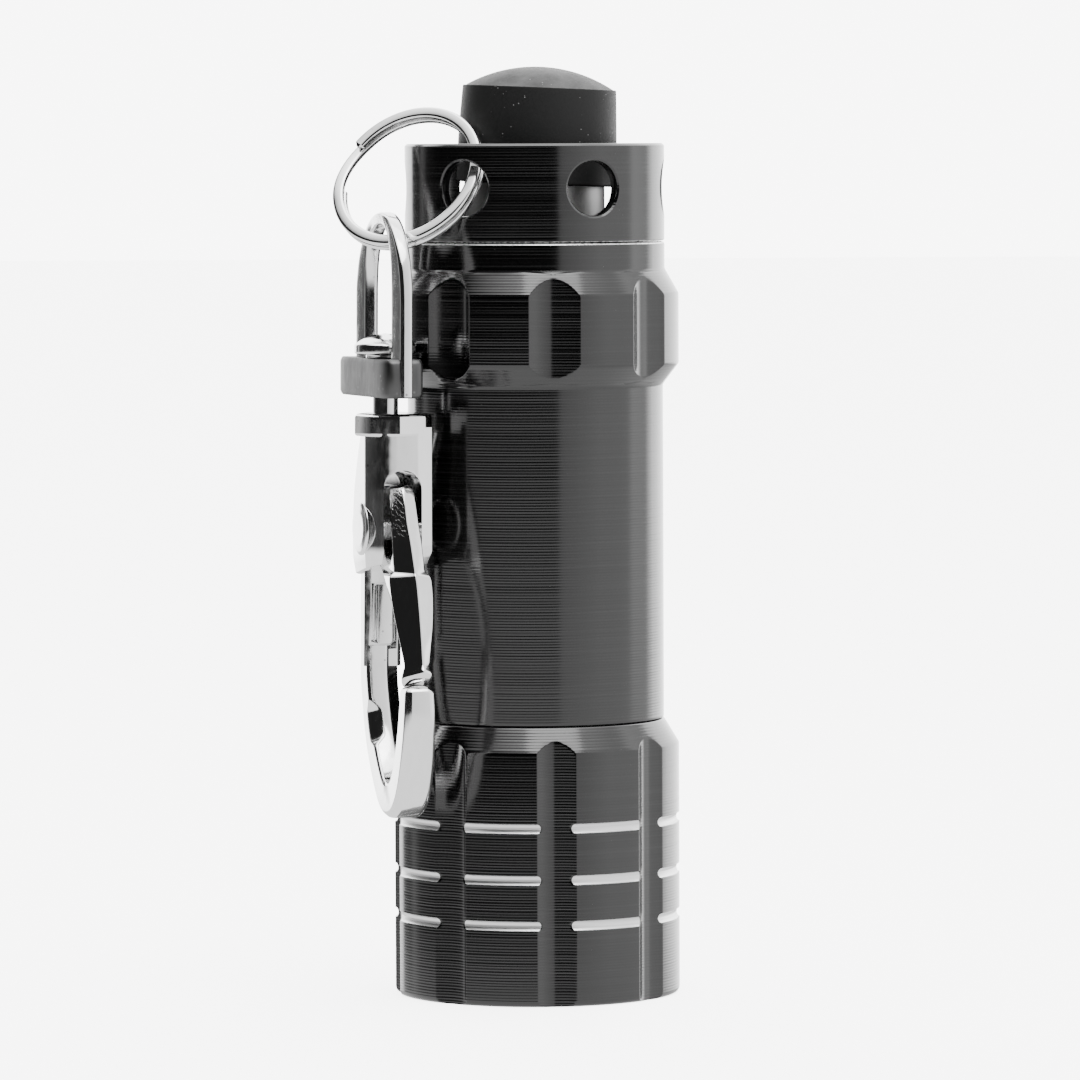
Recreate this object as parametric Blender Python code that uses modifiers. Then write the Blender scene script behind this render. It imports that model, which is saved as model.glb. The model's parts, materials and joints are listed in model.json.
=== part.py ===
"""Keychain flashlight: a pocket torch that stands on its lens end, with a push switch in its tail cap, a split
ring through the cap's cross holes, and a swivel trigger clasp hanging from the ring.

The torch's parts are turned shapes about one vertical axis. The clasp is built in its own frame: its X runs from
the spine to the gate, its Y is its thickness, and its Z is up. Sizes are in millimetres, scaled by MM.
"""

import math

import bmesh
import bpy
from mathutils import Matrix, Vector

MM = 0.001

# The torch's axis, measured from the middle of the whole assembly's footprint.
TORCH_X, TORCH_Y = 1.886, 1.889

# Head: lens end at the bottom, with a chamfered shoulder at the top.
HEAD_R, HEAD_TOP, SHOULDER_TOP = 9.5, 16.7, 18.1
HEAD_LENS_BORE_R, HEAD_BORE_R, HEAD_THREAD_R = 8.0, 7.6, 7.9
GROOVE_HEIGHTS, GROOVE_HALF, GROOVE_DEPTH = (11.75, 8.35, 5.35), 0.34, 0.2
FLUTES, FLUTE_START_DEG, FLUTE_R, FLUTE_CENTRE_R = 8, 7.8, 2.5, 11.57

# Barrel, with its scalloped collar under the tail cap.
BARREL_R, BARREL_BORE_R, BARREL_BOTTOM = 8.5, 6.9, 14.9
COLLAR_R, COLLAR_LOW, COLLAR_HIGH = 9.56, 42.0, 46.65
NECK_R, NECK_TOP = 8.63, 50.0
NOTCH_R, NOTCH_CENTRE_R = 3.3, 12.25

# Tail cap: an open cup with six cross holes, on a threaded spigot.
CAP_R, CAP_CUP_R, CAP_BOTTOM, CAP_TOP, CAP_FLOOR = 8.63, 7.75, 50.3, 56.6, 51.6
SPIGOT_R, SPIGOT_BORE_R, SPIGOT_BOTTOM = 7.2, 6.0, 45.2
SEAL_Z, SEAL_R, SEAL_WIRE_R = 48.8, 7.08, 0.3
HOLES, HOLE_START_DEG, HOLE_R, HOLE_CHAMFER, HOLE_Z = 6, -33.0, 1.8, 0.22, 53.65

# Push button, which sits a little crooked on its bush.
BUTTON_R, BUTTON_SHOULDER_R, BUTTON_BOTTOM, BUTTON_SHOULDER, BUTTON_TOP = 5.27, 5.1, 53.9, 60.2, 61.7
BUTTON_LEAN_DEG, BUTTON_LEAN_Z = 2.5, 52.0
BUSH_R = 4.4

# Cells: four button cells in a stack.
CELL_R, CELL_H, CELL_PITCH, CELL_BOTTOM, CELLS = 5.8, 5.2, 5.5, 19.4, 4
LED_R, LED_CIRCLE_R, LEDS = 2.5, 3.9, 3

# Split ring: two close turns of flat wire. Its plane slopes up to the right and then leans back.
RING_X, RING_Y, RING_Z = -8.27, -4.16, 54.32
RING_SLOPE_DEG, RING_TIP_DEG = 36.0, 47.8
RING_R, RING_WIRE_W, RING_WIRE_T, RING_PITCH = 4.98, 0.78, 0.44, 0.54
RING_END_DEG, RING_SWEEP_DEG = 145.0, 683.0

# Clasp: heights are those of the resting pose. It hangs close to the ring's lowest point, turned and leaning a
# little, and its hook sits forward of the swivel's axis.
CLASP_FACING_DEG, CLASP_LEAN_DEG, HANG_PAST_LOWEST_DEG, HOOK_FORWARD = 18.0, 0.4, 3.0, 0.8
BAIL_HALF_W, BAIL_STRAP, BAIL_THICK, BAIL_TOP, BAIL_ARCH = 4.9, 2.0, 0.9, 52.13, 5.8
BLOCK_LOW, BLOCK_HIGH, BLOCK_THICK = 40.06, 42.57, 2.9
RIVET_R, RIVET_HEAD_R, RIVET_BORE_R = 1.3, 2.05, 1.55
FLANGE_LOW, FLANGE_HIGH, FLANGE_R = 37.7, 39.0, 2.5
HOUSING_THICK, SLOT_WIDTH, SPINE_THICK = 4.0, 2.6, 2.5
PIVOT_U, PIVOT_Z, PIN_R, PIN_BORE_R, PIN_HEAD_R = -0.6, 31.4, 0.6, 0.85, 1.75
HOOK_WIRE_R, GATE_WIDTH, GATE_ARM_WIDTH = 1.15, 2.0, 2.8

# Facets round a full turn, for large and small turned pieces, and the steepest angle that is shaded smooth.
STEPS, SMALL_STEPS, SMOOTH_DEG = 40, 20, 40.0


def clear_scene():
    for obj in list(bpy.data.objects):
        bpy.data.objects.remove(obj, do_unlink=True)


def new_collection(name):
    collection = bpy.data.collections.new(name)
    bpy.context.scene.collection.children.link(collection)
    return collection


def finish(name, colour, metallic, roughness):
    """A Principled material for one sub-part."""
    material = bpy.data.materials.new(name)
    material.use_nodes = True
    shader = material.node_tree.nodes["Principled BSDF"]
    shader.inputs["Base Color"].default_value = (*colour, 1.0)
    shader.inputs["Metallic"].default_value = metallic
    shader.inputs["Roughness"].default_value = roughness
    return material


def adopt(obj, collection, parent, material=None):
    """Puts an object in its collection, under its parent, with its own material."""
    for home in list(obj.users_collection):
        home.objects.unlink(obj)
    collection.objects.link(obj)
    obj.parent = parent
    if material:
        obj.data.materials.clear()
        obj.data.materials.append(finish(obj.name, *material))
    return obj


def empty(name, place, turn=None, parent=None):
    """A pivot, at a place in millimetres and with a rotation matrix."""
    pivot = bpy.data.objects.new(name, None)
    parts.objects.link(pivot)
    pivot.parent = parent
    pivot.matrix_local = Matrix.Translation(Vector(place) * MM) @ (turn or Matrix()).to_4x4()
    return pivot


def mesh_object(name, bm):
    mesh = bpy.data.meshes.new(name)
    bm.to_mesh(mesh)
    bm.free()
    return bpy.data.objects.new(name, mesh)


def revolved(name, profile, closed, steps):
    """A profile of (radius, height) points carried once round Z. A closed profile makes a hollow piece."""
    mesh = bpy.data.meshes.new(name)
    points = [(radius * MM, 0.0, height * MM) for radius, height in profile]
    edges = [(i, i + 1) for i in range(len(points) - 1)]
    if closed:
        edges.append((len(points) - 1, 0))
    mesh.from_pydata(points, edges, [])
    obj = bpy.data.objects.new(name, mesh)
    screw = obj.modifiers.new("Turn", "SCREW")
    screw.steps = screw.render_steps = steps
    screw.use_merge_vertices = True
    screw.merge_threshold = 1e-5
    return obj


def turned(name, profile, parent, material, closed=True, steps=STEPS):
    return adopt(revolved(name, profile, closed, steps), parts, parent, material)


def as_cutter(obj, parent):
    obj.hide_render = True
    obj.display_type = "WIRE"
    return adopt(obj, cutters, parent)


def combine(obj, other, operation="DIFFERENCE"):
    modifier = obj.modifiers.new(operation.title(), "BOOLEAN")
    modifier.operation = operation
    modifier.object = other


def rod(name, radius, length, matrix, steps=16):
    """A cylinder about its own Z, centred on the matrix's place, all in millimetres."""
    bm = bmesh.new()
    bmesh.ops.create_cone(
        bm, cap_ends=True, segments=steps, radius1=radius, radius2=radius, depth=length, matrix=matrix
    )
    bm.transform(Matrix.Scale(MM, 4))
    return mesh_object(name, bm)


def block(name, low, high, matrix=None):
    """A box between two corners, in millimetres."""
    bm = bmesh.new()
    bmesh.ops.create_cube(bm)
    size = [b - a for a, b in zip(low, high)]
    middle = [(a + b) / 2 for a, b in zip(low, high)]
    bm.transform((matrix or Matrix()) @ Matrix.Translation(middle) @ Matrix.Diagonal((*size, 1.0)))
    bm.transform(Matrix.Scale(MM, 4))
    return mesh_object(name, bm)


def plate(name, outlines, thick):
    """Flat outlines in the clasp's X and Z, with any inner outline cut out, as a mesh of the given thickness."""
    curve = bpy.data.curves.new(name, "CURVE")
    curve.dimensions = "2D"
    curve.fill_mode = "BOTH"
    curve.extrude = thick / 2 * MM
    for outline in outlines:
        spline = curve.splines.new("POLY")
        spline.points.add(len(outline) - 1)
        for point, (u, z) in zip(spline.points, outline):
            point.co = (u * MM, z * MM, 0.0, 1.0)
        spline.use_cyclic_u = True
    return mesh_from_curve(name, curve, Matrix.Rotation(math.radians(90), 4, "X"))


def mesh_from_curve(name, curve, matrix=None):
    """Turns a curve into a welded mesh, so that it can be cut and joined."""
    source = bpy.data.objects.new(name + "_curve", curve)
    bpy.context.scene.collection.objects.link(source)
    graph = bpy.context.evaluated_depsgraph_get()
    mesh = bpy.data.meshes.new_from_object(source.evaluated_get(graph))
    bpy.data.objects.remove(source, do_unlink=True)
    bm = bmesh.new()
    bm.from_mesh(mesh)
    bpy.data.meshes.remove(mesh)
    bmesh.ops.remove_doubles(bm, verts=bm.verts, dist=1e-6)
    bmesh.ops.transform(bm, matrix=matrix or Matrix(), verts=bm.verts)
    bmesh.ops.recalc_face_normals(bm, faces=bm.faces)
    return mesh_object(name, bm)


def wire_curve(name, points, radius, bevel_resolution=2):
    """A round wire through points in millimetres, which may carry their own share of its radius."""
    curve = bpy.data.curves.new(name, "CURVE")
    curve.dimensions = "3D"
    curve.bevel_depth = radius * MM
    curve.bevel_resolution = bevel_resolution
    curve.use_fill_caps = True
    spline = curve.splines.new("POLY")
    spline.points.add(len(points) - 1)
    for point, place in zip(spline.points, points):
        point.co = (*[c * MM for c in place[:3]], 1.0)
        point.radius = place[3] if len(place) > 3 else 1.0
    return curve


def coil(low, high, low_r, high_r, turns, per_turn=10):
    """Points along a helix that widens or narrows evenly from its lower end to its upper end."""
    count = round(turns * per_turn)
    points = []
    for i in range(count + 1):
        share = i / count
        angle = math.tau * turns * share
        radius = low_r + (high_r - low_r) * share
        points.append((radius * math.cos(angle), radius * math.sin(angle), low + (high - low) * share))
    return points


def bearing(degrees):
    """The direction in the XY plane at an angle from the front, -Y, towards the right, +X."""
    return Vector((math.sin(math.radians(degrees)), -math.cos(math.radians(degrees)), 0.0))


def shade_smooth():
    for obj in parts.objects:
        if obj.type == "MESH":
            obj.data.shade_smooth()
            if obj.data.polygons:
                obj.data.set_sharp_from_angle(angle=math.radians(SMOOTH_DEG))


# Finishes: colour, metallic, roughness.
BLACK_ANODISED = ((0.012, 0.012, 0.013), 0.6, 0.28)
BARE_METAL = ((0.75, 0.75, 0.76), 1.0, 0.3)
CHROME = ((0.86, 0.86, 0.87), 1.0, 0.08)
BLACK_RUBBER = ((0.02, 0.02, 0.02), 0.0, 0.75)
CLEAR_PLASTIC = ((0.9, 0.93, 0.95), 0.0, 0.05)
WHITE_PLASTIC = ((0.8, 0.8, 0.78), 0.0, 0.4)
GREEN_BOARD = ((0.02, 0.16, 0.07), 0.0, 0.45)
SPRING_STEEL = ((0.6, 0.6, 0.6), 1.0, 0.3)


def head_shell():
    outer = [(BARREL_R, SHOULDER_TOP), (HEAD_R, HEAD_TOP)]
    for height in GROOVE_HEIGHTS:
        outer += [
            (HEAD_R, height + GROOVE_HALF),
            (HEAD_R - GROOVE_DEPTH, height),
            (HEAD_R, height - GROOVE_HALF),
        ]
    outer += [(HEAD_R, 0.5), (HEAD_R - 0.5, 0.0)]
    lip_low, lip_high, thread_low = 4.9, 5.6, 14.6
    inner = [
        (HEAD_LENS_BORE_R, 0.0),
        (HEAD_LENS_BORE_R, lip_low),
        (HEAD_LENS_BORE_R - 1.0, lip_low),
        (HEAD_LENS_BORE_R - 1.0, lip_high),
        (HEAD_BORE_R, lip_high),
        (HEAD_BORE_R, thread_low),
        (HEAD_THREAD_R, thread_low),
        (HEAD_THREAD_R, SHOULDER_TOP),
    ]
    shell = turned("head_shell", outer + inner, torch, BLACK_ANODISED)
    length = SHOULDER_TOP * 2
    for i in range(FLUTES):
        place = bearing(FLUTE_START_DEG + 360.0 / FLUTES * i) * FLUTE_CENTRE_R
        flute = rod(f"flute_{i + 1}", FLUTE_R, length, Matrix.Translation(place))
        combine(shell, as_cutter(flute, torch))


def lens_group():
    ring_r, window_r, ring_low, ring_high = 7.7, 6.5, 0.35, 1.95
    turned(
        "lens_retaining_ring",
        [(ring_r, ring_high), (ring_r, ring_low), (window_r + 0.4, ring_low),
         (window_r, ring_low + 0.4), (window_r, ring_high)],
        torch,
        BLACK_ANODISED,
    )
    lens_low, lens_high = 2.25, 3.75
    turned(
        "lens",
        [(0.0, lens_high), (ring_r, lens_high), (ring_r, lens_low), (0.0, lens_low)],
        torch,
        CLEAR_PLASTIC,
        closed=False,
    )
    turned("lens_o_ring", ring_section(7.3, 4.4, 0.4), torch, BLACK_RUBBER, steps=28)


def ring_section(radius, height, wire_r, sides=8):
    """A round section for an O-ring, its points in the order that faces the turned skin outwards."""
    return [
        (radius + wire_r * math.cos(-math.tau * i / sides), height + wire_r * math.sin(-math.tau * i / sides))
        for i in range(sides)
    ]


def led_places():
    return [bearing(360.0 / LEDS * i) * LED_CIRCLE_R for i in range(LEDS)]


def light_engine():
    low, high, radius, socket_r, mouth = 5.9, 10.4, 7.3, 2.75, 1.2
    holder = turned(
        "reflector", [(0.0, high), (radius, high), (radius, low), (0.0, low)], torch, CHROME, closed=False
    )
    led_low, flange_low, flange_high, flange_r = 8.6, 10.7, 11.7, 2.9
    for i, place in enumerate(led_places()):
        profile = [(socket_r, high + 1.0), (socket_r, low + mouth), (socket_r + 0.6, low - 1.0)]
        socket = revolved(f"socket_{i + 1}", [(0.0, high + 1.0)] + profile + [(0.0, low - 1.0)], False, 20)
        socket.location = place * MM
        combine(holder, as_cutter(socket, torch))
        dome = [
            (LED_R * math.cos(math.radians(a)), led_low - LED_R * math.sin(math.radians(a))) for a in (0, 30, 60, 90)
        ]
        body = [(0.0, flange_high), (flange_r, flange_high), (flange_r, flange_low), (LED_R, flange_low)]
        led = turned(f"led_{i + 1}", body + dome, torch, CLEAR_PLASTIC, closed=False, steps=SMALL_STEPS)
        led.location = place * MM
    board_low, board_high = 12.0, 13.2
    turned(
        "led_board",
        [(0.0, board_high), (radius, board_high), (radius, board_low), (0.0, board_low)],
        torch,
        GREEN_BOARD,
        closed=False,
        steps=28,
    )
    spring("head_contact_spring", coil(13.85, 19.0, 4.2, 2.4, 3.5), 0.28)


def spring(name, points, radius):
    return adopt(bpy.data.objects.new(name, wire_curve(name, points, radius)), parts, torch, SPRING_STEEL)


def barrel():
    outer = [
        (NECK_R - 0.2, NECK_TOP),
        (NECK_R, NECK_TOP - 0.2),
        (NECK_R, 48.3),
        (COLLAR_R, COLLAR_HIGH),
        (COLLAR_R, COLLAR_LOW),
        (BARREL_R, 40.6),
        (BARREL_R, SHOULDER_TOP + 0.3),
        (HEAD_THREAD_R - 0.3, SHOULDER_TOP + 0.3),
        (HEAD_THREAD_R - 0.3, BARREL_BOTTOM),
    ]
    inner = [
        (BARREL_BORE_R, BARREL_BOTTOM),
        (BARREL_BORE_R, SPIGOT_BOTTOM - 0.3),
        (SPIGOT_R + 0.3, SPIGOT_BOTTOM - 0.3),
        (SPIGOT_R + 0.3, NECK_TOP),
    ]
    tube = turned("barrel", outer + inner, torch, BLACK_ANODISED)
    for i in range(FLUTES):
        place = bearing(FLUTE_START_DEG + 360.0 / FLUTES * i) * NOTCH_CENTRE_R
        place.z = (COLLAR_LOW + COLLAR_HIGH) / 2
        notch = rod(f"notch_{i + 1}", NOTCH_R, 10.0, Matrix.Translation(place))
        combine(tube, as_cutter(notch, torch))


def cells():
    sleeve_r, sleeve_bore_r, sleeve_low, sleeve_high = 6.6, 6.1, 15.5, 41.4
    turned(
        "battery_sleeve",
        [(sleeve_r, sleeve_high), (sleeve_r, sleeve_low),
         (sleeve_bore_r, sleeve_low), (sleeve_bore_r, sleeve_high)],
        torch,
        WHITE_PLASTIC,
        steps=28,
    )
    for i in range(CELLS):
        low = CELL_BOTTOM + CELL_PITCH * i
        high = low + CELL_H
        profile = [(0.0, high), (CELL_R, high), (CELL_R, low + 0.8), (CELL_R - 0.6, low), (0.0, low)]
        turned(f"battery_cell_{i + 1}", profile, torch, BARE_METAL, closed=False, steps=SMALL_STEPS)


def tail_cap():
    groove_low, groove_high, groove_r, floor_low = SEAL_Z - 0.5, SEAL_Z + 0.5, SEAL_R - 0.4, CAP_FLOOR - 1.0
    outer = [
        (CAP_R - 0.2, CAP_TOP),
        (CAP_R, CAP_TOP - 0.2),
        (CAP_R, CAP_BOTTOM + 0.2),
        (CAP_R - 0.2, CAP_BOTTOM),
        (SPIGOT_R, CAP_BOTTOM),
        (SPIGOT_R, groove_high),
        (groove_r, groove_high),
        (groove_r, groove_low),
        (SPIGOT_R, groove_low),
        (SPIGOT_R, SPIGOT_BOTTOM),
    ]
    inner = [
        (SPIGOT_BORE_R, SPIGOT_BOTTOM),
        (SPIGOT_BORE_R, floor_low),
        (BUSH_R + 0.3, floor_low),
        (BUSH_R + 0.3, CAP_FLOOR),
        (CAP_CUP_R, CAP_FLOOR),
        (CAP_CUP_R, CAP_TOP),
    ]
    cap = turned("tail_cap", outer + inner, torch, BLACK_ANODISED)
    reach = CAP_R + 1.0
    flare = reach - CAP_R + HOLE_CHAMFER
    half = [(0.0, reach), (HOLE_R + flare, reach), (HOLE_R, CAP_R - HOLE_CHAMFER)]
    across = half + [(radius, -height) for radius, height in reversed(half)]
    for i in range(HOLES // 2):
        hole = revolved(f"cross_hole_{i + 1}", across, False, 20)
        hole.location = (0.0, 0.0, HOLE_Z * MM)
        hole.rotation_mode = "QUATERNION"
        outward = bearing(HOLE_START_DEG + 360.0 / HOLES * i)
        hole.rotation_quaternion = Vector((0.0, 0.0, 1.0)).rotation_difference(outward)
        combine(cap, as_cutter(hole, torch))
    turned("tail_o_ring", ring_section(SEAL_R, SEAL_Z, SEAL_WIRE_R), torch, BLACK_RUBBER, steps=28)


def switch():
    bush_low, flange_high, well_low, bush_top, well_r, plunger_r = 49.3, 50.3, 51.2, 57.0, 3.5, 2.2
    turned(
        "switch_bush",
        [
            (BUSH_R, bush_top),
            (BUSH_R, flange_high),
            (SPIGOT_BORE_R - 0.3, flange_high),
            (SPIGOT_BORE_R - 0.3, bush_low),
            (plunger_r + 0.3, bush_low),
            (plunger_r + 0.3, well_low),
            (well_r, well_low),
            (well_r, bush_top),
        ],
        torch,
        BARE_METAL,
        steps=28,
    )
    top, head_low, head_r, plunger_low = 58.5, 57.6, 3.25, 48.2
    turned(
        "switch_plunger",
        [(0.0, top), (head_r, top), (head_r, head_low),
         (plunger_r, head_low), (plunger_r, plunger_low), (0.0, plunger_low)],
        torch,
        WHITE_PLASTIC,
        closed=False,
        steps=SMALL_STEPS,
    )
    wire_r = 0.22
    spring("switch_spring", coil(well_low + 0.3 + wire_r, head_low - 0.3 - wire_r, 2.85, 2.85, 4.5), wire_r)
    body_high, body_low, body_floor, body_well_r = 49.0, 45.5, 46.1, 3.6
    turned(
        "switch_body",
        [
            (SPIGOT_BORE_R - 0.3, body_high),
            (SPIGOT_BORE_R - 0.3, body_low),
            (0.0, body_low),
            (0.0, body_floor),
            (body_well_r, body_floor),
            (body_well_r, body_high),
        ],
        torch,
        BLACK_RUBBER,
        steps=28,
    )
    turned(
        "switch_contact",
        [(0.0, 46.9), (1.2, 46.85), (2.4, 46.7), (3.2, 46.4), (0.0, 46.4)],
        torch,
        BARE_METAL,
        closed=False,
        steps=SMALL_STEPS,
    )
    spring("tail_contact_spring", coil(41.5, 45.0, 2.4, 4.2, 3.0), 0.28)


def push_button():
    """A cup with a shallow domed top, open below so that it slides down over its bush."""
    well_r, ceiling, corner = 4.75, 58.8, 0.25
    rise = BUTTON_TOP - BUTTON_SHOULDER
    sphere_r = (BUTTON_SHOULDER_R**2 + rise**2) / (2 * rise)
    dome = []
    for share in (0.0, 0.3, 0.55, 0.8, 0.96):
        radius = BUTTON_SHOULDER_R * share
        dome.append((radius, BUTTON_TOP - sphere_r + math.sqrt(sphere_r**2 - radius**2)))
    side = [
        (BUTTON_SHOULDER_R, BUTTON_SHOULDER - corner),
        (BUTTON_R, 57.0),
        (BUTTON_R, BUTTON_BOTTOM),
        (well_r, BUTTON_BOTTOM),
        (well_r, ceiling),
        (0.0, ceiling),
    ]
    low_profile = [(radius, height - BUTTON_LEAN_Z) for radius, height in dome + side]
    turned("push_button", low_profile, button_pivot, BLACK_RUBBER, closed=False, steps=32)


def split_ring():
    """Two close turns of flat wire: a rectangle spun about the ring's own axis, which it climbs as it turns."""
    half_w, half_t, step_deg = RING_WIRE_W / 2, RING_WIRE_T / 2, 11.0
    steps = round(RING_SWEEP_DEG / step_deg)
    climb = RING_PITCH * RING_SWEEP_DEG / 360.0
    bm = bmesh.new()
    corners = [(-half_w, -half_t), (half_w, -half_t), (half_w, half_t), (-half_w, half_t)]
    start = Matrix.Rotation(math.radians(RING_END_DEG), 4, "Z")
    verts = [bm.verts.new(start @ Vector((RING_R + w, 0.0, t - climb / 2))) for w, t in corners]
    face = bm.faces.new(verts)
    bmesh.ops.spin(
        bm,
        geom=[face, *face.edges, *face.verts],
        cent=(0.0, 0.0, 0.0),
        axis=(0.0, 0.0, 1.0),
        dvec=(0.0, 0.0, climb / steps),
        angle=math.radians(RING_SWEEP_DEG),
        steps=steps,
    )
    bm.transform(Matrix.Scale(MM, 4))
    bmesh.ops.recalc_face_normals(bm, faces=bm.faces)
    adopt(mesh_object("split_ring", bm), parts, ring_centre, CHROME)


def arch(half_w, top, rise, foot, squareness, count=14):
    """An outline that stands on its foot and ends in half an ellipse, or in a squarer arch above squareness 2."""
    spring_line = top - rise
    points = [(-half_w, foot)]
    for i in range(count + 1):
        angle = math.pi * (1 - i / count)
        across = abs(math.cos(angle)) ** (2 / squareness) * math.copysign(1.0, math.cos(angle))
        points.append((half_w * across, spring_line + rise * math.sin(angle) ** (2 / squareness)))
    return points + [(half_w, foot)]


def clasp_z(height):
    """A height of the resting pose, from the point where the clasp hangs."""
    return height - HANG.z


def lowered(points):
    return [(u, clasp_z(z)) for u, z in points]


def swivel_bail():
    strap_top, overlap = 0.88, 0.6
    outer = arch(BAIL_HALF_W, BAIL_TOP, BAIL_ARCH, BLOCK_HIGH - overlap, 2.0)
    inner = arch(BAIL_HALF_W - BAIL_STRAP, BAIL_TOP - strap_top, BAIL_ARCH - strap_top, BLOCK_HIGH, 2.6)
    bail = plate("swivel_bail", [lowered(outer), lowered(inner)], BAIL_THICK)
    adopt(bail, parts, bail_pivot, CHROME)
    low = (-BAIL_HALF_W, -BLOCK_THICK / 2, clasp_z(BLOCK_LOW))
    high = (BAIL_HALF_W, BLOCK_THICK / 2, clasp_z(BLOCK_HIGH))
    base = as_cutter(block("bail_base", low, high), bail_pivot)
    combine(bail, base, "UNION")
    bore_place = Matrix.Translation((0.0, 0.0, clasp_z((BLOCK_LOW + BLOCK_HIGH) / 2)))
    combine(bail, as_cutter(rod("swivel_bore", RIVET_BORE_R, 4.0, bore_place), bail_pivot))


def swivel_rivet():
    seat, low = clasp_z(BLOCK_HIGH + 0.3), clasp_z(37.2)
    profile = [
        (0.0, seat + 1.3),
        (1.3, seat + 1.15),
        (RIVET_HEAD_R - 0.2, seat + 0.7),
        (RIVET_HEAD_R, seat),
        (RIVET_R, seat),
        (RIVET_R, low),
        (0.0, low),
    ]
    turned("swivel_rivet", profile, clasp_axis, CHROME, closed=False, steps=SMALL_STEPS)


def hook_path():
    """The hook's centre line and share of its wire radius: down the spine, round the bowl and up to the tip."""
    bowl = [
        (-3.05, 23.2, 1.0),
        (-3.05, 21.6, 1.0),
        (-2.6, 19.8, 1.0),
        (-1.95, 18.0, 1.0),
        (-1.05, 16.4, 1.0),
        (0.15, 14.9, 1.0),
        (1.1, 14.05, 1.0),
        (2.2, 13.6, 1.0),
        (3.3, 13.95, 1.0),
        (4.2, 15.0, 0.98),
        (4.85, 16.6, 0.95),
        (5.25, 18.3, 0.9),
        (5.45, 20.0, 0.85),
        (5.5, 22.4, 0.83),
    ]
    return [(u, 0.0, clasp_z(z), share) for u, z, share in bowl]


def hook_body():
    housing = [
        (-1.9, FLANGE_LOW + 0.4),
        (1.9, FLANGE_LOW + 0.4),
        (2.3, 35.5),
        (2.4, 30.2),
        (1.6, 29.2),
        (-0.6, 28.9),
        (-1.9, 28.2),
        (-3.9, 28.2),
        (-3.9, 31.5),
        (-3.3, 34.8),
    ]
    spine = [(-2.0, 30.0), (-3.8, 30.0), (-4.1, 25.0), (-4.0, 22.4), (-2.05, 22.4), (-1.9, 25.0)]
    hook = plate("hook_body", [lowered(housing)], HOUSING_THICK)
    adopt(hook, parts, hook_frame, CHROME)
    joined = [
        plate("hook_spine", [lowered(spine)], SPINE_THICK),
        mesh_from_curve("hook_bowl", wire_curve("hook_bowl", hook_path(), HOOK_WIRE_R)),
        rod(
            "hook_flange",
            FLANGE_R,
            FLANGE_HIGH - FLANGE_LOW,
            Matrix.Translation((0.0, 0.0, clasp_z((FLANGE_LOW + FLANGE_HIGH) / 2))),
        ),
    ]
    for piece in joined:
        combine(hook, as_cutter(piece, hook_frame), "UNION")
    slot_back, slot_low, slot_high = -2.6, 27.0, 35.3
    slot = block(
        "gate_slot",
        (slot_back, -SLOT_WIDTH / 2, clasp_z(slot_low)),
        (6.0, SLOT_WIDTH / 2, clasp_z(slot_high)),
    )
    well = rod("rivet_well", RIVET_R + 0.2, 2.4, Matrix.Translation((0.0, 0.0, clasp_z(38.1))))
    nose = block("tip_cut", (-3.0, -3.0, 0.0), (3.0, 3.0, 3.0), tip_cut_place(0.3))
    for cutter in (slot, nose, pin_bore("hook_pin_bore")):
        combine(hook, as_cutter(cutter, hook_frame))
    combine(hook, as_cutter(well, clasp_axis))


def tip_cut_place(gap):
    """The plane where the gate meets the tip: square to the gate's radius from its pivot, so the gate can leave it."""
    pivot = Vector((PIVOT_U, 0.0, clasp_z(PIVOT_Z)))
    meeting = Vector((5.2, 0.0, clasp_z(21.6)))
    outwards = (meeting - pivot).normalized()
    turn = Vector((0.0, 0.0, -1.0)).rotation_difference(outwards).to_matrix().to_4x4()
    return Matrix.Translation(meeting + outwards * gap) @ turn


def pin_bore(name):
    place = Matrix.Translation((PIVOT_U, 0.0, clasp_z(PIVOT_Z))) @ Matrix.Rotation(math.radians(90), 4, "X")
    return rod(name, PIN_BORE_R, HOUSING_THICK * 2, place)


def gate_pivot_pin():
    face, rise = HOUSING_THICK / 2 + 0.12, 0.45
    half = [(0.0, face + rise), (PIN_HEAD_R * 0.6, face + rise * 0.8), (PIN_HEAD_R, face), (PIN_R, face)]
    profile = half + [(radius, -height) for radius, height in reversed(half)]
    pin = turned("gate_pivot_pin", profile, gate_pivot, CHROME, closed=False, steps=SMALL_STEPS)
    pin.rotation_euler = (math.radians(90), 0.0, 0.0)


def from_pivot(points):
    return [(u - PIVOT_U, z - PIVOT_Z) for u, z in points]


def gate_lever():
    """The thumb part lies in the housing's slot; the wider arm below it reaches the hook's tip."""
    thumb = [(1.5, 34.3), (2.1, 32.3), (2.65, 30.4), (3.6, 28.4), (1.2, 28.0),
             (-0.6, 29.6), (-1.9, 30.6), (-1.9, 33.6), (-0.8, 34.5)]
    arm = [(3.65, 28.7), (5.1, 24.2), (5.9, 20.0), (3.4, 20.0), (3.0, 24.2), (1.1, 28.7)]
    gate = plate("gate_lever", [from_pivot(thumb)], GATE_WIDTH)
    adopt(gate, parts, gate_pivot, CHROME)
    shaft = plate("gate_arm", [from_pivot(arm)], GATE_ARM_WIDTH)
    combine(gate, as_cutter(shaft, gate_pivot), "UNION")
    lift = Matrix.Translation((-PIVOT_U, 0.0, -clasp_z(PIVOT_Z)))
    end = block("gate_end_cut", (-4.0, -3.0, -4.0), (4.0, 3.0, 0.0), lift @ tip_cut_place(0.0))
    pocket_half, pocket_reach = 0.6, 1.75
    pocket = rod("spring_pocket", pocket_reach, pocket_half * 2, Matrix.Rotation(math.radians(90), 4, "X"))
    mouth = block("spring_mouth", (-3.0, -pocket_half, -3.0), (0.1, pocket_half, 5.0))
    bore = rod("gate_pin_bore", PIN_BORE_R, 6.0, Matrix.Rotation(math.radians(90), 4, "X"))
    for cutter in (end, pocket, mouth, bore):
        combine(gate, as_cutter(cutter, gate_pivot))


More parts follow.
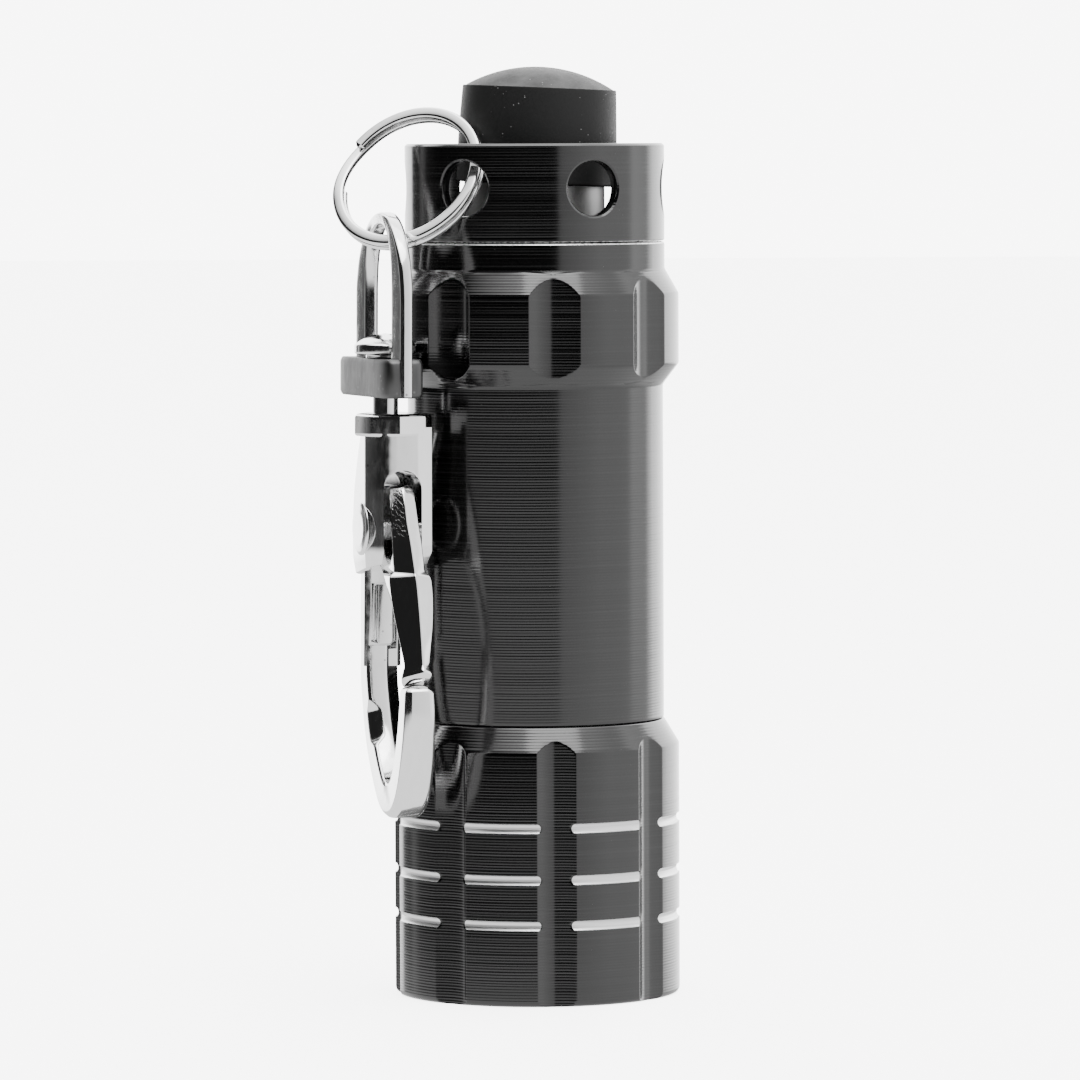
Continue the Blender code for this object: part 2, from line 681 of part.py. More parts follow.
def gate_spring():
    """A torsion spring wound on the pivot pin, with one leg up against the back of the housing's slot."""
    wire_r, coil_r, turns, half = 0.15, 1.1, 2.0, 0.35
    count = 20
    points = [(-1.65, half, 2.6), (-1.3, half, 1.2)]
    for i in range(count + 1):
        angle = math.radians(170.0) + math.tau * turns * i / count
        points.append((coil_r * math.cos(angle), half - 2 * half * i / count, coil_r * math.sin(angle)))
    curve = wire_curve("gate_spring", points, wire_r, 1)
    adopt(bpy.data.objects.new("gate_spring", curve), parts, gate_pivot, SPRING_STEEL)


clear_scene()
parts = new_collection("keychain_flashlight")
cutters = new_collection("cutters")

torch = empty("torch_axis", (TORCH_X, TORCH_Y, 0.0))
button_pivot = empty(
    "button_slide", (0.0, 0.0, BUTTON_LEAN_Z), Matrix.Rotation(math.radians(BUTTON_LEAN_DEG), 3, "Y"), torch
)
RING_TURN = (Matrix.Rotation(math.radians(-RING_SLOPE_DEG), 3, "Y")
             @ Matrix.Rotation(math.radians(RING_TIP_DEG), 3, "X"))
ring_centre = empty("ring_centre", (RING_X, RING_Y, RING_Z), RING_TURN, torch)

# The clasp hangs just past the ring's lowest point, found from the ring's own up direction.
HIGHEST = math.atan2(RING_TURN[2][1], RING_TURN[2][0])
HANG_ANGLE = HIGHEST + math.pi - math.radians(HANG_PAST_LOWEST_DEG)
HANG_ARM = RING_TURN @ Vector((math.cos(HANG_ANGLE), math.sin(HANG_ANGLE), 0.0)) * RING_R
HANG = Vector((RING_X, RING_Y, RING_Z)) + HANG_ARM
CLASP_TURN = Matrix.Rotation(math.radians(CLASP_LEAN_DEG), 3, "Y") @ Matrix.Rotation(
    math.radians(CLASP_FACING_DEG - 90.0), 3, "Z"
)
bail_pivot = empty("bail_pivot", HANG, CLASP_TURN, torch)
clasp_axis = empty("clasp_axis", (0.0, 0.0, 0.0), None, bail_pivot)
hook_frame = empty("hook_frame", (HOOK_FORWARD, 0.0, 0.0), None, clasp_axis)
gate_pivot = empty("gate_pivot", (PIVOT_U, 0.0, clasp_z(PIVOT_Z)), None, hook_frame)

head_shell()
lens_group()
light_engine()
barrel()
cells()
tail_cap()
switch()
push_button()
split_ring()
swivel_bail()
swivel_rivet()
hook_body()
gate_pivot_pin()
gate_lever()
gate_spring()
shade_smooth()
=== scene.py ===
"""Keychain flashlight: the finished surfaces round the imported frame, with their materials, light and camera.

Lengths are in millimetres until a piece is built, and angles round the torch are measured from its front, -Y,
towards its right, +X. Each new piece is a grid of points worked out as whole arrays.
"""

import json
import math

import bmesh
import bpy
import numpy as np
from mathutils import Matrix, Vector

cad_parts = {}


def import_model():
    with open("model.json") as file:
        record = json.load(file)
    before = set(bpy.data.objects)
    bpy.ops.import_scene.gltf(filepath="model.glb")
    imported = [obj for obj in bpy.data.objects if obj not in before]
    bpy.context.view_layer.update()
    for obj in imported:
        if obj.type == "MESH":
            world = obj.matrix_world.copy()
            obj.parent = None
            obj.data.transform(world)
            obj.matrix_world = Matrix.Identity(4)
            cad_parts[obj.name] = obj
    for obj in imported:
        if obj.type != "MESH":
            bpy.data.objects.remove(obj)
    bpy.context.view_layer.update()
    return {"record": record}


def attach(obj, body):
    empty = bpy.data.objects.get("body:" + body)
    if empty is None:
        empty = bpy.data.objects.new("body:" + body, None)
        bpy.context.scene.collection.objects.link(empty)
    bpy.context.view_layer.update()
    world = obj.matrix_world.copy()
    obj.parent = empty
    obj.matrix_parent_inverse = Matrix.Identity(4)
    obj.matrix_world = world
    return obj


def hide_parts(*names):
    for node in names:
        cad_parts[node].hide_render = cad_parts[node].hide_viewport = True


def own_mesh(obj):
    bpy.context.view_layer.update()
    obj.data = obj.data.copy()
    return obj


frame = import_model()
MM = 0.001
TAU = math.tau
RECORD = frame["record"]
BODY_OF = {node: body for body, nodes in RECORD["behaviour"]["bodies"].items() for node in nodes}
JOINTS = {joint["name"]: joint for joint in RECORD["behaviour"]["joints"]}

# ---------------------------------------------------------------------------- places


def turn(axis, degrees):
    """The rotation about one axis, as the rows that a point is multiplied by."""
    return np.array(Matrix.Rotation(math.radians(degrees), 3, axis)).T


UPRIGHT = np.eye(3)
TORCH = (np.array([*JOINTS["cap_turn"]["pos_m"][:2], 0.0]) / MM, UPRIGHT)
BUTTON_LEAN_Z = 52.0
BUTTON = (TORCH[0] + (0.0, 0.0, BUTTON_LEAN_Z), turn("Y", 2.5))
RING_AXES = turn("X", 47.8) @ turn("Y", -36.0)
RING = (TORCH[0] + (-8.27, -4.16, 54.32), RING_AXES)
CLASP_AXES = turn("Z", 18.0 - 90.0) @ turn("Y", 0.4)
HANG = np.array(JOINTS["bail_swing"]["pos_m"]) / MM
HOOK_FORWARD, HOOK_ASIDE = 0.8, 0.3
LEDS, LED_AT, LED_R, LED_DOME_Z = 3, 3.9, 2.5, 8.6


def clasp_place(forward=0.0, aside=0.0, height=None):
    """The clasp's frame: X from spine to gate, Y its thickness, Z up, with heights as they are at rest."""
    drop = 0.0 if height is None else height - HANG[2]
    return HANG + np.array([forward, aside, drop]) @ CLASP_AXES, CLASP_AXES


def hook_place(forward=0.0, height=None):
    """The hook's frame, a little forward and aside of the point where the clasp hangs."""
    return clasp_place(HOOK_FORWARD + forward, HOOK_ASIDE, height)


def rested(points):
    """Clasp points with heights at rest, measured from the point where the clasp hangs."""
    return np.asarray(points) - np.array([0.0, 0.0, HANG[2]])


# ---------------------------------------------------------------------------- building


def rounded(points, radius, closed=True, steps=4):
    """Softens an outline, or many at once: each corner becomes the quadratic curve that leaves one side at
    the given distance from the corner and joins the next side at the same distance."""
    p = np.asarray(points, float)
    back, ahead = np.roll(p, 1, -2) - p, np.roll(p, -1, -2) - p
    length_back = np.maximum(np.linalg.norm(back, axis=-1, keepdims=True), 1e-9)
    length_ahead = np.maximum(np.linalg.norm(ahead, axis=-1, keepdims=True), 1e-9)
    cut = np.minimum(radius, 0.45 * np.minimum(length_back, length_ahead))
    start, end = p + back / length_back * cut, p + ahead / length_ahead * cut
    if not closed:
        start[..., 0, :] = end[..., 0, :] = p[..., 0, :]
        start[..., -1, :] = end[..., -1, :] = p[..., -1, :]
    t = np.linspace(0.0, 1.0, steps + 1)[:, None]
    curve = (1 - t) ** 2 * start[..., None, :] + 2 * t * (1 - t) * p[..., None, :] + t**2 * end[..., None, :]
    return curve.reshape(*p.shape[:-2], -1, p.shape[-1])


def shell(grid, wrap=(True, True), bare=None):
    """A grid of points as corners and four-sided faces, joined round on itself along the axes that wrap."""
    rows, columns = grid.shape[:2]
    i, j = np.meshgrid(np.arange(rows - (not wrap[0])), np.arange(columns - (not wrap[1])), indexing="ij")
    k, m = (i + 1) % rows, (j + 1) % columns
    faces = np.stack([i * columns + j, i * columns + m, k * columns + m, k * columns + j], -1)
    marks = np.zeros(rows * columns) if bare is None else np.asarray(bare, float).reshape(-1)
    return grid.reshape(-1, 3), faces.reshape(-1, 4), marks


def build(name, shells, place, material, smooth=32.0, body=None, nodes=None):
    """Joins shells into one closed piece in its place, and puts it in the stead of its CAD node."""
    origin, axes = place
    starts = np.cumsum([0] + [len(corners) for corners, _, _ in shells[:-1]])
    corners = np.concatenate([corners for corners, _, _ in shells]) @ axes + origin
    faces = np.concatenate([faces + start for (_, faces, _), start in zip(shells, starts)])
    mesh = bpy.data.meshes.new(name)
    mesh.from_pydata(corners * MM, [], faces.tolist())
    mark = mesh.attributes.new("bare", "FLOAT", "POINT")
    mark.data.foreach_set("value", np.concatenate([marks for _, _, marks in shells]))
    bm = bmesh.new()
    bm.from_mesh(mesh)
    bmesh.ops.remove_doubles(bm, verts=bm.verts, dist=1.5e-6)
    bmesh.ops.dissolve_degenerate(bm, edges=bm.edges, dist=1e-7)
    bmesh.ops.holes_fill(bm, edges=[e for e in bm.edges if e.is_boundary], sides=0)
    bmesh.ops.recalc_face_normals(bm, faces=bm.faces)
    bm.to_mesh(mesh)
    bm.free()
    mesh.shade_smooth()
    mesh.set_sharp_from_angle(angle=math.radians(smooth))
    mesh.materials.append(material)
    piece = bpy.data.objects.new(name, mesh)
    bpy.context.scene.collection.objects.link(piece)
    nodes = nodes or (name,)
    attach(piece, body or BODY_OF[nodes[0]])
    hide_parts(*nodes)
    return piece


def lathed(profile, columns=128, radius=0.1, closed=True, bare=()):
    """A turned shape: each (radius, height) point of a softened profile carried once round Z. bare lists the
    spans of height whose metal shows."""
    line = rounded(profile, radius, closed)
    angle = np.linspace(0.0, TAU, columns, endpoint=False)
    r, z = line[:, :1], line[:, 1:]
    grid = np.stack([r * np.cos(angle), r * np.sin(angle), z + 0.0 * angle], -1)
    marks = sum(((z >= low) & (z <= high)) + 0.0 * angle for low, high in bare) if bare else None
    return shell(grid, (closed, True), marks)


# ---------------------------------------------------------------------------- materials


class Nodes:
    """One procedural material. Each method adds a node and gives back the output that the next one reads."""

    def __init__(self, name, **values):
        self.material = bpy.data.materials.new(name)
        self.material.use_nodes = True
        self.tree = self.material.node_tree
        self.shader = self.tree.nodes["Principled BSDF"]
        self.coords = self.tree.nodes.new("ShaderNodeTexCoord").outputs["Object"]
        for key, value in values.items():
            self.shader.inputs[key.replace("_", " ")].default_value = value

    def add(self, kind, inputs=None, output=0, **settings):
        node = self.tree.nodes.new("ShaderNode" + kind)
        for key, value in settings.items():
            setattr(node, key, value)
        for key, value in (inputs or {}).items():
            if isinstance(value, bpy.types.NodeSocket):
                self.tree.links.new(value, node.inputs[key])
            else:
                node.inputs[key].default_value = value
        return node.outputs[output]

    def mapped(self, scale, centre=(0.0, 0.0, 0.0)):
        """Object coordinates in millimetres about a centre, each multiplied by its scale."""
        moved = self.add("VectorMath", {0: self.coords, 1: [c * MM for c in centre]}, operation="SUBTRACT")
        return self.add("VectorMath", {0: moved, 1: [s / MM for s in scale]}, operation="MULTIPLY")

    def noise(self, scale, detail=3.0, rough=0.5, centre=(0.0, 0.0, 0.0)):
        where = self.mapped(scale, centre)
        return self.add("TexNoise", {"Vector": where, "Scale": 1.0, "Detail": detail, "Roughness": rough})

    def cells(self, scale, output="Distance"):
        return self.add("TexVoronoi", {"Vector": self.mapped(scale), "Scale": 1.0}, output=output)

    def span(self, value, low, high, to_low=0.0, to_high=1.0):
        """A value carried from one range to another, and held at its ends."""
        inputs = {"Value": value, "From Min": low, "From Max": high, "To Min": to_low, "To Max": to_high}
        return self.add("MapRange", inputs)

    def math(self, operation, a, b=0.0, c=0.0):
        return self.add("Math", {0: a, 1: b, 2: c}, operation=operation)

    def mix(self, share, a, b):
        inputs = {"Factor": share, "A": a, "B": b}
        node = self.tree.nodes.new("ShaderNodeMix")
        node.data_type = "RGBA"
        colour = {"Factor": node.inputs[0], "A": node.inputs[6], "B": node.inputs[7]}
        for key, value in inputs.items():
            if isinstance(value, bpy.types.NodeSocket):
                self.tree.links.new(value, colour[key])
            else:
                colour[key].default_value = value
        return node.outputs[2]

    def wire(self, socket, value):
        self.tree.links.new(value, self.shader.inputs[socket])

    def bumped(self, *layers):
        """Raises the surface: each layer is a height, its strength and its depth in millimetres."""
        normal = None
        for height, strength, depth in layers:
            inputs = {"Height": height, "Strength": strength, "Distance": depth * MM}
            if normal is not None:
                inputs["Normal"] = normal
            normal = self.add("Bump", inputs)
        self.wire("Normal", normal)


def grey(value, alpha=1.0):
    return (value, value, value, alpha)


def anodised():
    """Glossy black anodising over turned aluminium: fine lines left by the tool, wear on the edges, and
    bright metal wherever a piece is marked bare."""
    n = Nodes("black_anodised", IOR=1.62, Coat_Weight=0.15, Coat_Roughness=0.12)
    lines = n.noise((0.012, 0.012, 5.9), 2.0, 0.75)
    height = n.add("SeparateXYZ", {0: n.mapped((1.0, 1.0, 1.0))}, output=2)
    bands = n.noise((0.01, 0.01, 1.1), 1.0)
    ridges = n.math("SINE", n.math("MULTIPLY", n.math("MULTIPLY_ADD", bands, 0.1, height), TAU / 0.19))
    cloud = n.noise((0.25, 0.25, 0.25), 3.0)
    specks = n.span(n.cells((2.4, 2.4, 2.4)), 0.035, 0.07, 1.0, 0.0)
    rare = n.span(n.noise((0.6, 0.6, 0.6), 1.0), 0.6, 0.68)
    dust = n.math("MULTIPLY", specks, rare)
    bare = n.add("Attribute", output=2, attribute_name="bare")
    ragged = n.math("MULTIPLY_ADD", n.noise((6.0, 6.0, 9.0), 2.0), 0.9, -0.45)
    shown = n.span(n.math("ADD", bare, n.math("MULTIPLY", ragged, 0.5)), 0.45, 0.6)
    film = n.mix(n.span(lines, 0.48, 0.72), (0.001, 0.001, 0.0011, 1.0), (0.016, 0.016, 0.0165, 1.0))
    film = n.mix(dust, film, grey(0.06))
    metal = n.mix(n.span(lines, 0.3, 0.7), grey(0.72), grey(0.95))
    n.wire("Base Color", n.mix(shown, film, metal))
    n.wire("Metallic", shown)
    gloss = n.math("ADD", n.span(lines, 0.35, 0.7, 0.1, 0.2), n.span(cloud, 0.3, 0.7, -0.02, 0.02))
    rough = n.math("MAXIMUM", n.math("MULTIPLY", shown, 0.38),
                   n.math("ADD", gloss, n.math("MULTIPLY", dust, 0.4)))
    n.wire("Roughness", rough)
    n.bumped((lines, 0.45, 0.02), (ridges, 0.4, 0.004), (bands, 0.12, 0.012), (cloud, 0.04, 0.02))
    return n.material


def chrome(name, ripple, pits, tone=0.86, roughness=0.06):
    """Bright plate over a casting or a wire: slow ripples, fine scratches, and pits where the plating is
    thin. Where a piece is marked bare the plate is darker and duller."""
    n = Nodes(name, Metallic=1.0)
    slow = n.noise((0.35, 0.35, 0.35), 2.0)
    fine = n.noise((2.6, 2.6, 0.9), 5.0, 0.6)
    scratch = n.noise((0.6, 14.0, 0.4), 2.0, 0.7)
    holes = n.math("MULTIPLY", n.span(n.cells((1.8, 1.8, 1.8)), 0.1, 0.2, 1.0, 0.0),
                   n.span(n.noise((0.5, 0.5, 0.5), 1.0), 0.56, 0.64))
    shade = n.mix(n.span(fine, 0.35, 0.75), grey(tone), grey(tone + 0.07))
    bare = n.add("Attribute", output=2, attribute_name="bare")
    shade = n.mix(bare, shade, grey(0.1))
    n.wire("Base Color", n.mix(n.math("MULTIPLY", holes, pits), shade, grey(0.2)))
    dull = n.span(n.math("ADD", fine, n.math("MULTIPLY", scratch, 0.4)), 0.5, 0.95,
                  roughness, roughness + 0.12)
    n.wire("Roughness", n.math("MULTIPLY_ADD", bare, 0.3, dull))
    n.bumped((slow, ripple, 0.25), (fine, ripple * 0.35, 0.03), (scratch, 0.05, 0.006),
             (holes, -0.3 * pits, 0.03))
    return n.material


def serrated_chrome():
    """The gate's plate: as the rest of the clasp, with the rough, hatched grip of its thumb piece."""
    n = Nodes("gate_plate", Metallic=1.0)
    slow = n.noise((0.35, 0.35, 0.35), 2.0)
    fine = n.noise((3.0, 3.0, 1.2), 5.0, 0.65)
    origin, axes = hook_place(height=31.9)
    slant = n.add("VectorMath", {0: n.mapped((1.0, 1.0, 1.0), origin)}, operation="DOT_PRODUCT", output=1)
    n.tree.nodes[-1].inputs[1].default_value = np.array([0.0, 0.75, 0.66]) @ axes
    hatch = n.math("SINE", n.math("MULTIPLY", n.math("ADD", slant, n.math("MULTIPLY", fine, 0.75)),
                                  TAU / 0.3))
    height = n.add("SeparateXYZ", {0: n.mapped((1.0, 1.0, 1.0), origin)}, output=2)
    side = n.add("VectorMath", {0: n.mapped((1.0, 1.0, 1.0), origin)}, operation="DOT_PRODUCT", output=1)
    n.tree.nodes[-1].inputs[1].default_value = np.array([0.0, -1.0, 0.0]) @ axes
    reach = n.math("MULTIPLY", n.span(height, -1.4, -0.7), n.span(height, 2.3, 2.1))
    reach = n.math("MULTIPLY", reach, n.span(side, 0.06, 0.14))
    shade = n.mix(n.span(fine, 0.35, 0.75), grey(0.84), grey(0.92))
    n.wire("Base Color", shade)
    n.wire("Roughness", n.math("ADD", n.span(fine, 0.5, 0.9, 0.06, 0.16), n.math("MULTIPLY", reach, 0.05)))
    n.bumped((slow, 0.1, 0.25), (fine, 0.05, 0.03), (n.math("MULTIPLY", hatch, reach), 0.3, 0.025))
    return n.material


def rubber(name, tone, dusty):
    """Matte moulded rubber: a fine grain, dust that lies on top of it, and a few pale nicks."""
    n = Nodes(name, Specular_IOR_Level=0.25)
    grain = n.noise((9.0, 9.0, 9.0), 4.0, 0.65)
    cloud = n.noise((0.5, 0.5, 0.5), 4.0)
    facing = n.add("NewGeometry", output=1)
    facing = n.add("VectorTransform", {0: facing}, convert_from="WORLD", convert_to="OBJECT",
                   vector_type="NORMAL")
    up = n.span(n.add("SeparateXYZ", {0: facing}, output=2), 0.3, 0.95)
    specks = n.span(n.cells((3.1, 3.1, 3.1)), 0.06, 0.14, 1.0, 0.0)
    few = n.math("MULTIPLY", specks, n.span(n.noise((0.9, 0.9, 0.9), 1.0), 0.55, 0.62))
    dust = n.math("MULTIPLY", n.math("MULTIPLY", up, n.span(cloud, 0.3, 0.75)), dusty)
    base = n.mix(n.span(grain, 0.3, 0.7), grey(tone * 0.8), grey(tone * 1.3))
    base = n.mix(dust, base, grey(0.12))
    n.wire("Base Color", n.mix(n.math("MULTIPLY", few, dusty), base, grey(0.4)))
    n.wire("Roughness", n.span(grain, 0.3, 0.7, 0.5, 0.68))
    n.bumped((cloud, 0.1, 0.1), (grain, 0.25, 0.03), (few, 0.3 * dusty, 0.05))
    return n.material


def steel(name, tone, roughness, brushed=(0.02, 0.02, 6.0)):
    """Plated or drawn steel with the fine lines of its making along one direction."""
    n = Nodes(name, Metallic=1.0)
    lines = n.noise(brushed, 3.0, 0.7)
    cloud = n.noise((0.4, 0.4, 0.4), 3.0)
    n.wire("Base Color", n.mix(n.span(cloud, 0.3, 0.7), grey(tone * 0.85), grey(tone)))
    n.wire("Roughness", n.span(lines, 0.3, 0.7, roughness, roughness + 0.15))
    n.bumped((lines, 0.25, 0.015))
    return n.material


def plastic(name, colour, roughness, **values):
    """Moulded plastic with a faint grain and a little unevenness in its colour."""
    n = Nodes(name, **values)
    grain = n.noise((2.5, 2.5, 2.5), 4.0)
    cloud = n.noise((0.3, 0.3, 0.3), 2.0)
    dark = tuple(c * 0.85 for c in colour)
    n.wire("Base Color", n.mix(n.span(cloud, 0.3, 0.7), (*dark, 1.0), (*colour, 1.0)))
    n.wire("Roughness", n.span(grain, 0.3, 0.7, roughness, roughness + 0.08))
    n.bumped((grain, 0.08, 0.02))
    return n.material


BLACK = anodised()
CAST = chrome("cast_chrome", 0.14, 0.8)
WIRE = chrome("wire_chrome", 0.05, 0.25, 0.88, 0.05)
GATE = serrated_chrome()
BUTTON_RUBBER = rubber("button_rubber", 0.012, 0.8)
SEAL_RUBBER = rubber("seal_rubber", 0.015, 0.1)
NICKEL = steel("nickel_plate", 0.5, 0.42)
SPRING_WIRE = steel("spring_wire", 0.62, 0.22, (3.0, 3.0, 3.0))
METALLISED = steel("metallised_plastic", 0.9, 0.05, (0.5, 0.5, 0.5))
WHITE = plastic("white_plastic", (0.78, 0.78, 0.75), 0.35)
DARK_PLASTIC = plastic("black_plastic", (0.02, 0.02, 0.02), 0.4)
BOARD = plastic("board_green", (0.02, 0.16, 0.07), 0.3)
CLEAR = plastic("clear_lens", (0.95, 0.97, 0.98), 0.02, Transmission_Weight=1.0, IOR=1.49)
EPOXY = plastic("led_epoxy", (0.93, 0.94, 0.9), 0.03, Transmission_Weight=0.85, IOR=1.52)

# ---------------------------------------------------------------------------- head and barrel

FLUTES, FLUTE_START_DEG = 8, 7.8
GROOVE_HEIGHTS, GROOVE_HALF, GROOVE_DEPTH = (11.75, 8.35, 5.35), 0.34, 0.2


def scalloped(line, outside, cutter_r, cutter_at, soft=0.05, bare=None):
    """A turned profile scooped by upright round cutters. Round Z the radius is the smooth minimum of the
    profile's own and the near side of a cutter's circle: d cos a - sqrt(c^2 - d^2 sin^2 a). Columns gather at
    the angle where the two meet, which the law of cosines gives for each height."""
    r, z = line[:, :1], line[:, 1:]
    outside = outside[:, None]
    period = TAU / FLUTES
    meets = (r**2 + cutter_at**2 - cutter_r**2) / (2 * r * cutter_at)
    half = np.where(outside, np.arccos(np.clip(meets, -1.0, 1.0)), 0.2)
    half = np.maximum(half, 0.03)
    gap = 0.13 / cutter_at
    inside = np.linspace(-1.0, 1.0, 15) * (half - gap)
    edge = np.array([-0.5, -0.15, 0.15, 0.5]) * gap
    land = half + gap + np.linspace(0.0, 1.0, 12) * (period - 2 * half - 2 * gap)
    offset = np.concatenate([inside, half + edge, land, period - half + edge], 1)
    angle = np.concatenate([offset + period * i for i in range(FLUTES)], 1)
    local = (angle + period / 2) % period - period / 2
    across = cutter_at * np.sin(local)
    wall = cutter_at * np.cos(local) - np.sqrt(np.maximum(cutter_r**2 - across**2, 0.0))
    wall = np.where(outside & (np.abs(across) < cutter_r), wall, 99.0)
    share = np.clip(0.5 + 0.5 * (wall - r) / soft, 0.0, 1.0)
    radius = wall * (1 - share) + r * share - soft * share * (1 - share)
    radius = np.where(wall > 90.0, r, radius)
    angle = angle + math.radians(FLUTE_START_DEG)
    grid = np.stack([radius * np.sin(angle), -radius * np.cos(angle), z + 0.0 * angle], -1)
    marks = None if bare is None else bare[:, None] * (share > 0.9)
    return shell(grid, (True, True), marks)


def refined(line, reach=0.12):
    """Adds points along the sloping stretches of a profile, so that a scallop can end in a curve on them."""
    parts = []
    for start, end in zip(line[:-1], line[1:]):
        length = math.dist(start, end) if abs(start[0] - end[0]) > 0.3 else 0.0
        count = max(1, round(length / reach))
        parts.append(start + (end - start) * np.arange(count)[:, None] / count)
    return np.concatenate([*parts, line[-1:]])


def head():
    """The head's wall: a chamfered shoulder, three round-bottomed grooves of half-ellipse section, a small
    foot radius, then the bore with its lens seat and thread land."""
    x = np.linspace(-1.0, 1.0, 13)[::-1]
    x = np.concatenate([[1.06], x, [-1.06]])
    groove = np.stack([9.5 - GROOVE_DEPTH * np.sqrt(np.maximum(1 - x**2, 0.0)), x * GROOVE_HALF], -1)
    shoulder = refined(rounded([(7.9, 18.36), (8.5, 18.36), (9.5, 16.7), (9.5, 12.3)], 0.12, False))
    foot = rounded([(9.5, 4.8), (9.5, 0.0), (8.0, 0.0), (8.0, 2.0)], 0.45, False, 7)
    bore = rounded([(8.0, 2.0), (8.0, 4.9), (7.0, 4.9), (7.0, 5.6), (7.6, 5.6), (7.6, 14.6), (7.9, 14.6),
                    (7.9, 18.2)], 0.08, False)
    grooves = [groove + (0.0, height) for height in GROOVE_HEIGHTS]
    line = np.concatenate([shoulder, *grooves, foot, bore])
    inside = np.tile(np.abs(x) < 0.99, len(GROOVE_HEIGHTS)).astype(float)
    bare = np.concatenate([np.zeros(len(shoulder)), inside, np.zeros(len(foot) + len(bore))])
    outside = (line[:, 0] > 8.05) & (np.arange(len(line)) < len(line) - len(bore))
    build("head_shell", [scalloped(line, outside, 2.5, 11.57, bare=bare)], TORCH, BLACK)


def barrel():
    """The barrel's wall: a waist between the head and the scalloped collar, a neck, and a bright worn lip."""
    outer = rounded([(7.5, 50.07), (8.52, 50.07), (8.63, 49.95), (8.63, 48.3), (9.56, 46.65), (9.56, 42.0),
                     (8.5, 40.6), (8.5, 18.4), (7.6, 18.4)], 0.14, False, 5)
    outer = refined(outer)
    inner = rounded([(7.6, 18.4), (7.6, 14.9), (6.9, 14.9), (6.9, 44.9), (7.5, 44.9), (7.5, 50.07)],
                    0.08, False)
    line = np.concatenate([outer, inner])
    outside = (line[:, 0] > 8.7) & (np.arange(len(line)) < len(outer))
    worn = 0.62 * ((line[:, 1] > 49.94) & (line[:, 0] > 8.3))
    build("barrel", [scalloped(line, outside, 3.3, 12.25, bare=worn)], TORCH, BLACK)


# ---------------------------------------------------------------------------- tail cap

CAP_R, CUP_R, CAP_LOW, CAP_HIGH, CAP_FLOOR = 8.63, 7.75, 50.13, 56.6, 51.6
HOLE_START_DEG, HOLES, HOLE_R, HOLE_Z, HOLE_CHAMFER = -33.0, 6, 1.8, 53.65, 0.16


def holed_wall(radius, low, high, hole_r, sides=64, rings=7):
    """One sixth of a round wall with a round hole. Rings of points pass from the hole's edge, where a
    straight bore meets the cylinder, out to the edges of the panel."""
    quarter = sides // 4
    reach = TAU / HOLES / 2
    s = np.linspace(-1.0, 1.0, quarter, endpoint=False)
    one = np.ones(quarter)
    edge_angle = np.concatenate([one, -s, -one, s]) * reach
    edge_z = np.concatenate([low + (s + 1) / 2 * (high - low), one * high, high - (s + 1) / 2 * (high - low),
                             one * low])
    around = np.arctan2(edge_z - HOLE_Z, edge_angle * radius)
    across, rise = hole_r * np.cos(around), hole_r * np.sin(around)
    hole_angle = np.arcsin(across / radius)
    t = np.linspace(0.0, 1.0, rings)[:, None]
    angle = hole_angle + (edge_angle - hole_angle) * t
    z = HOLE_Z + rise + (edge_z - HOLE_Z - rise) * t
    return angle, z, around, edge_angle


def on_wall(radius, angle, z):
    return np.stack([radius * np.sin(angle), -radius * np.cos(angle), z], -1)


def tail_cap():
    """The cup with its cross holes: six holed panels outside and in, a bore through each, and turned rims."""
    low, high = CAP_LOW + 0.1, CAP_HIGH - 0.16
    inner_low, inner_high = CAP_FLOOR + 0.15, CAP_HIGH - 0.16
    shells = []
    for i in range(HOLES):
        aim = math.radians(HOLE_START_DEG) + TAU / HOLES * i
        angle, z, around, edge_angle = holed_wall(CAP_R, low, high, HOLE_R + HOLE_CHAMFER)
        shells.append(shell(on_wall(CAP_R, angle + aim, z), (False, True)))
        inner_angle, inner_z = holed_wall(CUP_R, inner_low, inner_high, HOLE_R)[:2]
        shells.append(shell(on_wall(CUP_R, inner_angle + aim, inner_z), (False, True)))
        depths = np.array([0.0, 0.08, HOLE_CHAMFER + 0.02, 0.55])
        sizes = HOLE_R + np.array([HOLE_CHAMFER, 0.04, 0.0, 0.0])
        rows = []
        for depth, size in zip(depths, sizes):
            wall = CAP_R - depth
            rows.append(on_wall(wall, np.arcsin(size * np.cos(around) / wall) + aim,
                                HOLE_Z + size * np.sin(around)))
        rows.append(on_wall(CUP_R, inner_angle[0] + aim, inner_z[0]))
        shells.append(shell(np.array(rows), (False, True)))
    quarter = len(edge_angle) // 4
    steps = np.sort(edge_angle[quarter : 2 * quarter])
    angle = np.concatenate([steps + math.radians(HOLE_START_DEG) + TAU / HOLES * i for i in range(HOLES)])
    rim = rounded([(CAP_R, high), (CAP_R - 0.16, CAP_HIGH), (CUP_R + 0.16, CAP_HIGH), (CUP_R, inner_high)],
                  0.06, False)
    foot = rounded([(CAP_R, low), (CAP_R - 0.1, CAP_LOW), (7.2, CAP_LOW), (7.2, 49.3), (6.68, 49.3),
                    (6.68, 48.3), (7.2, 48.3), (7.2, 45.2), (6.0, 45.2), (6.0, 50.6), (4.7, 50.6),
                    (4.7, CAP_FLOOR), (CUP_R - 0.15, CAP_FLOOR), (CUP_R, inner_low)], 0.06, False)
    for line in (rim, foot):
        grid = on_wall(line[:, :1], angle, line[:, 1:] + 0.0 * angle)
        worn = 0.55 * ((line[:, 1:] > CAP_LOW - 0.01) & (line[:, 1:] < CAP_LOW + 0.06) & (line[:, :1] > 8.4))
        shells.append(shell(grid, (False, True), worn + 0.0 * angle))
    build("tail_cap", shells, TORCH, BLACK)


# ---------------------------------------------------------------------------- small turned pieces


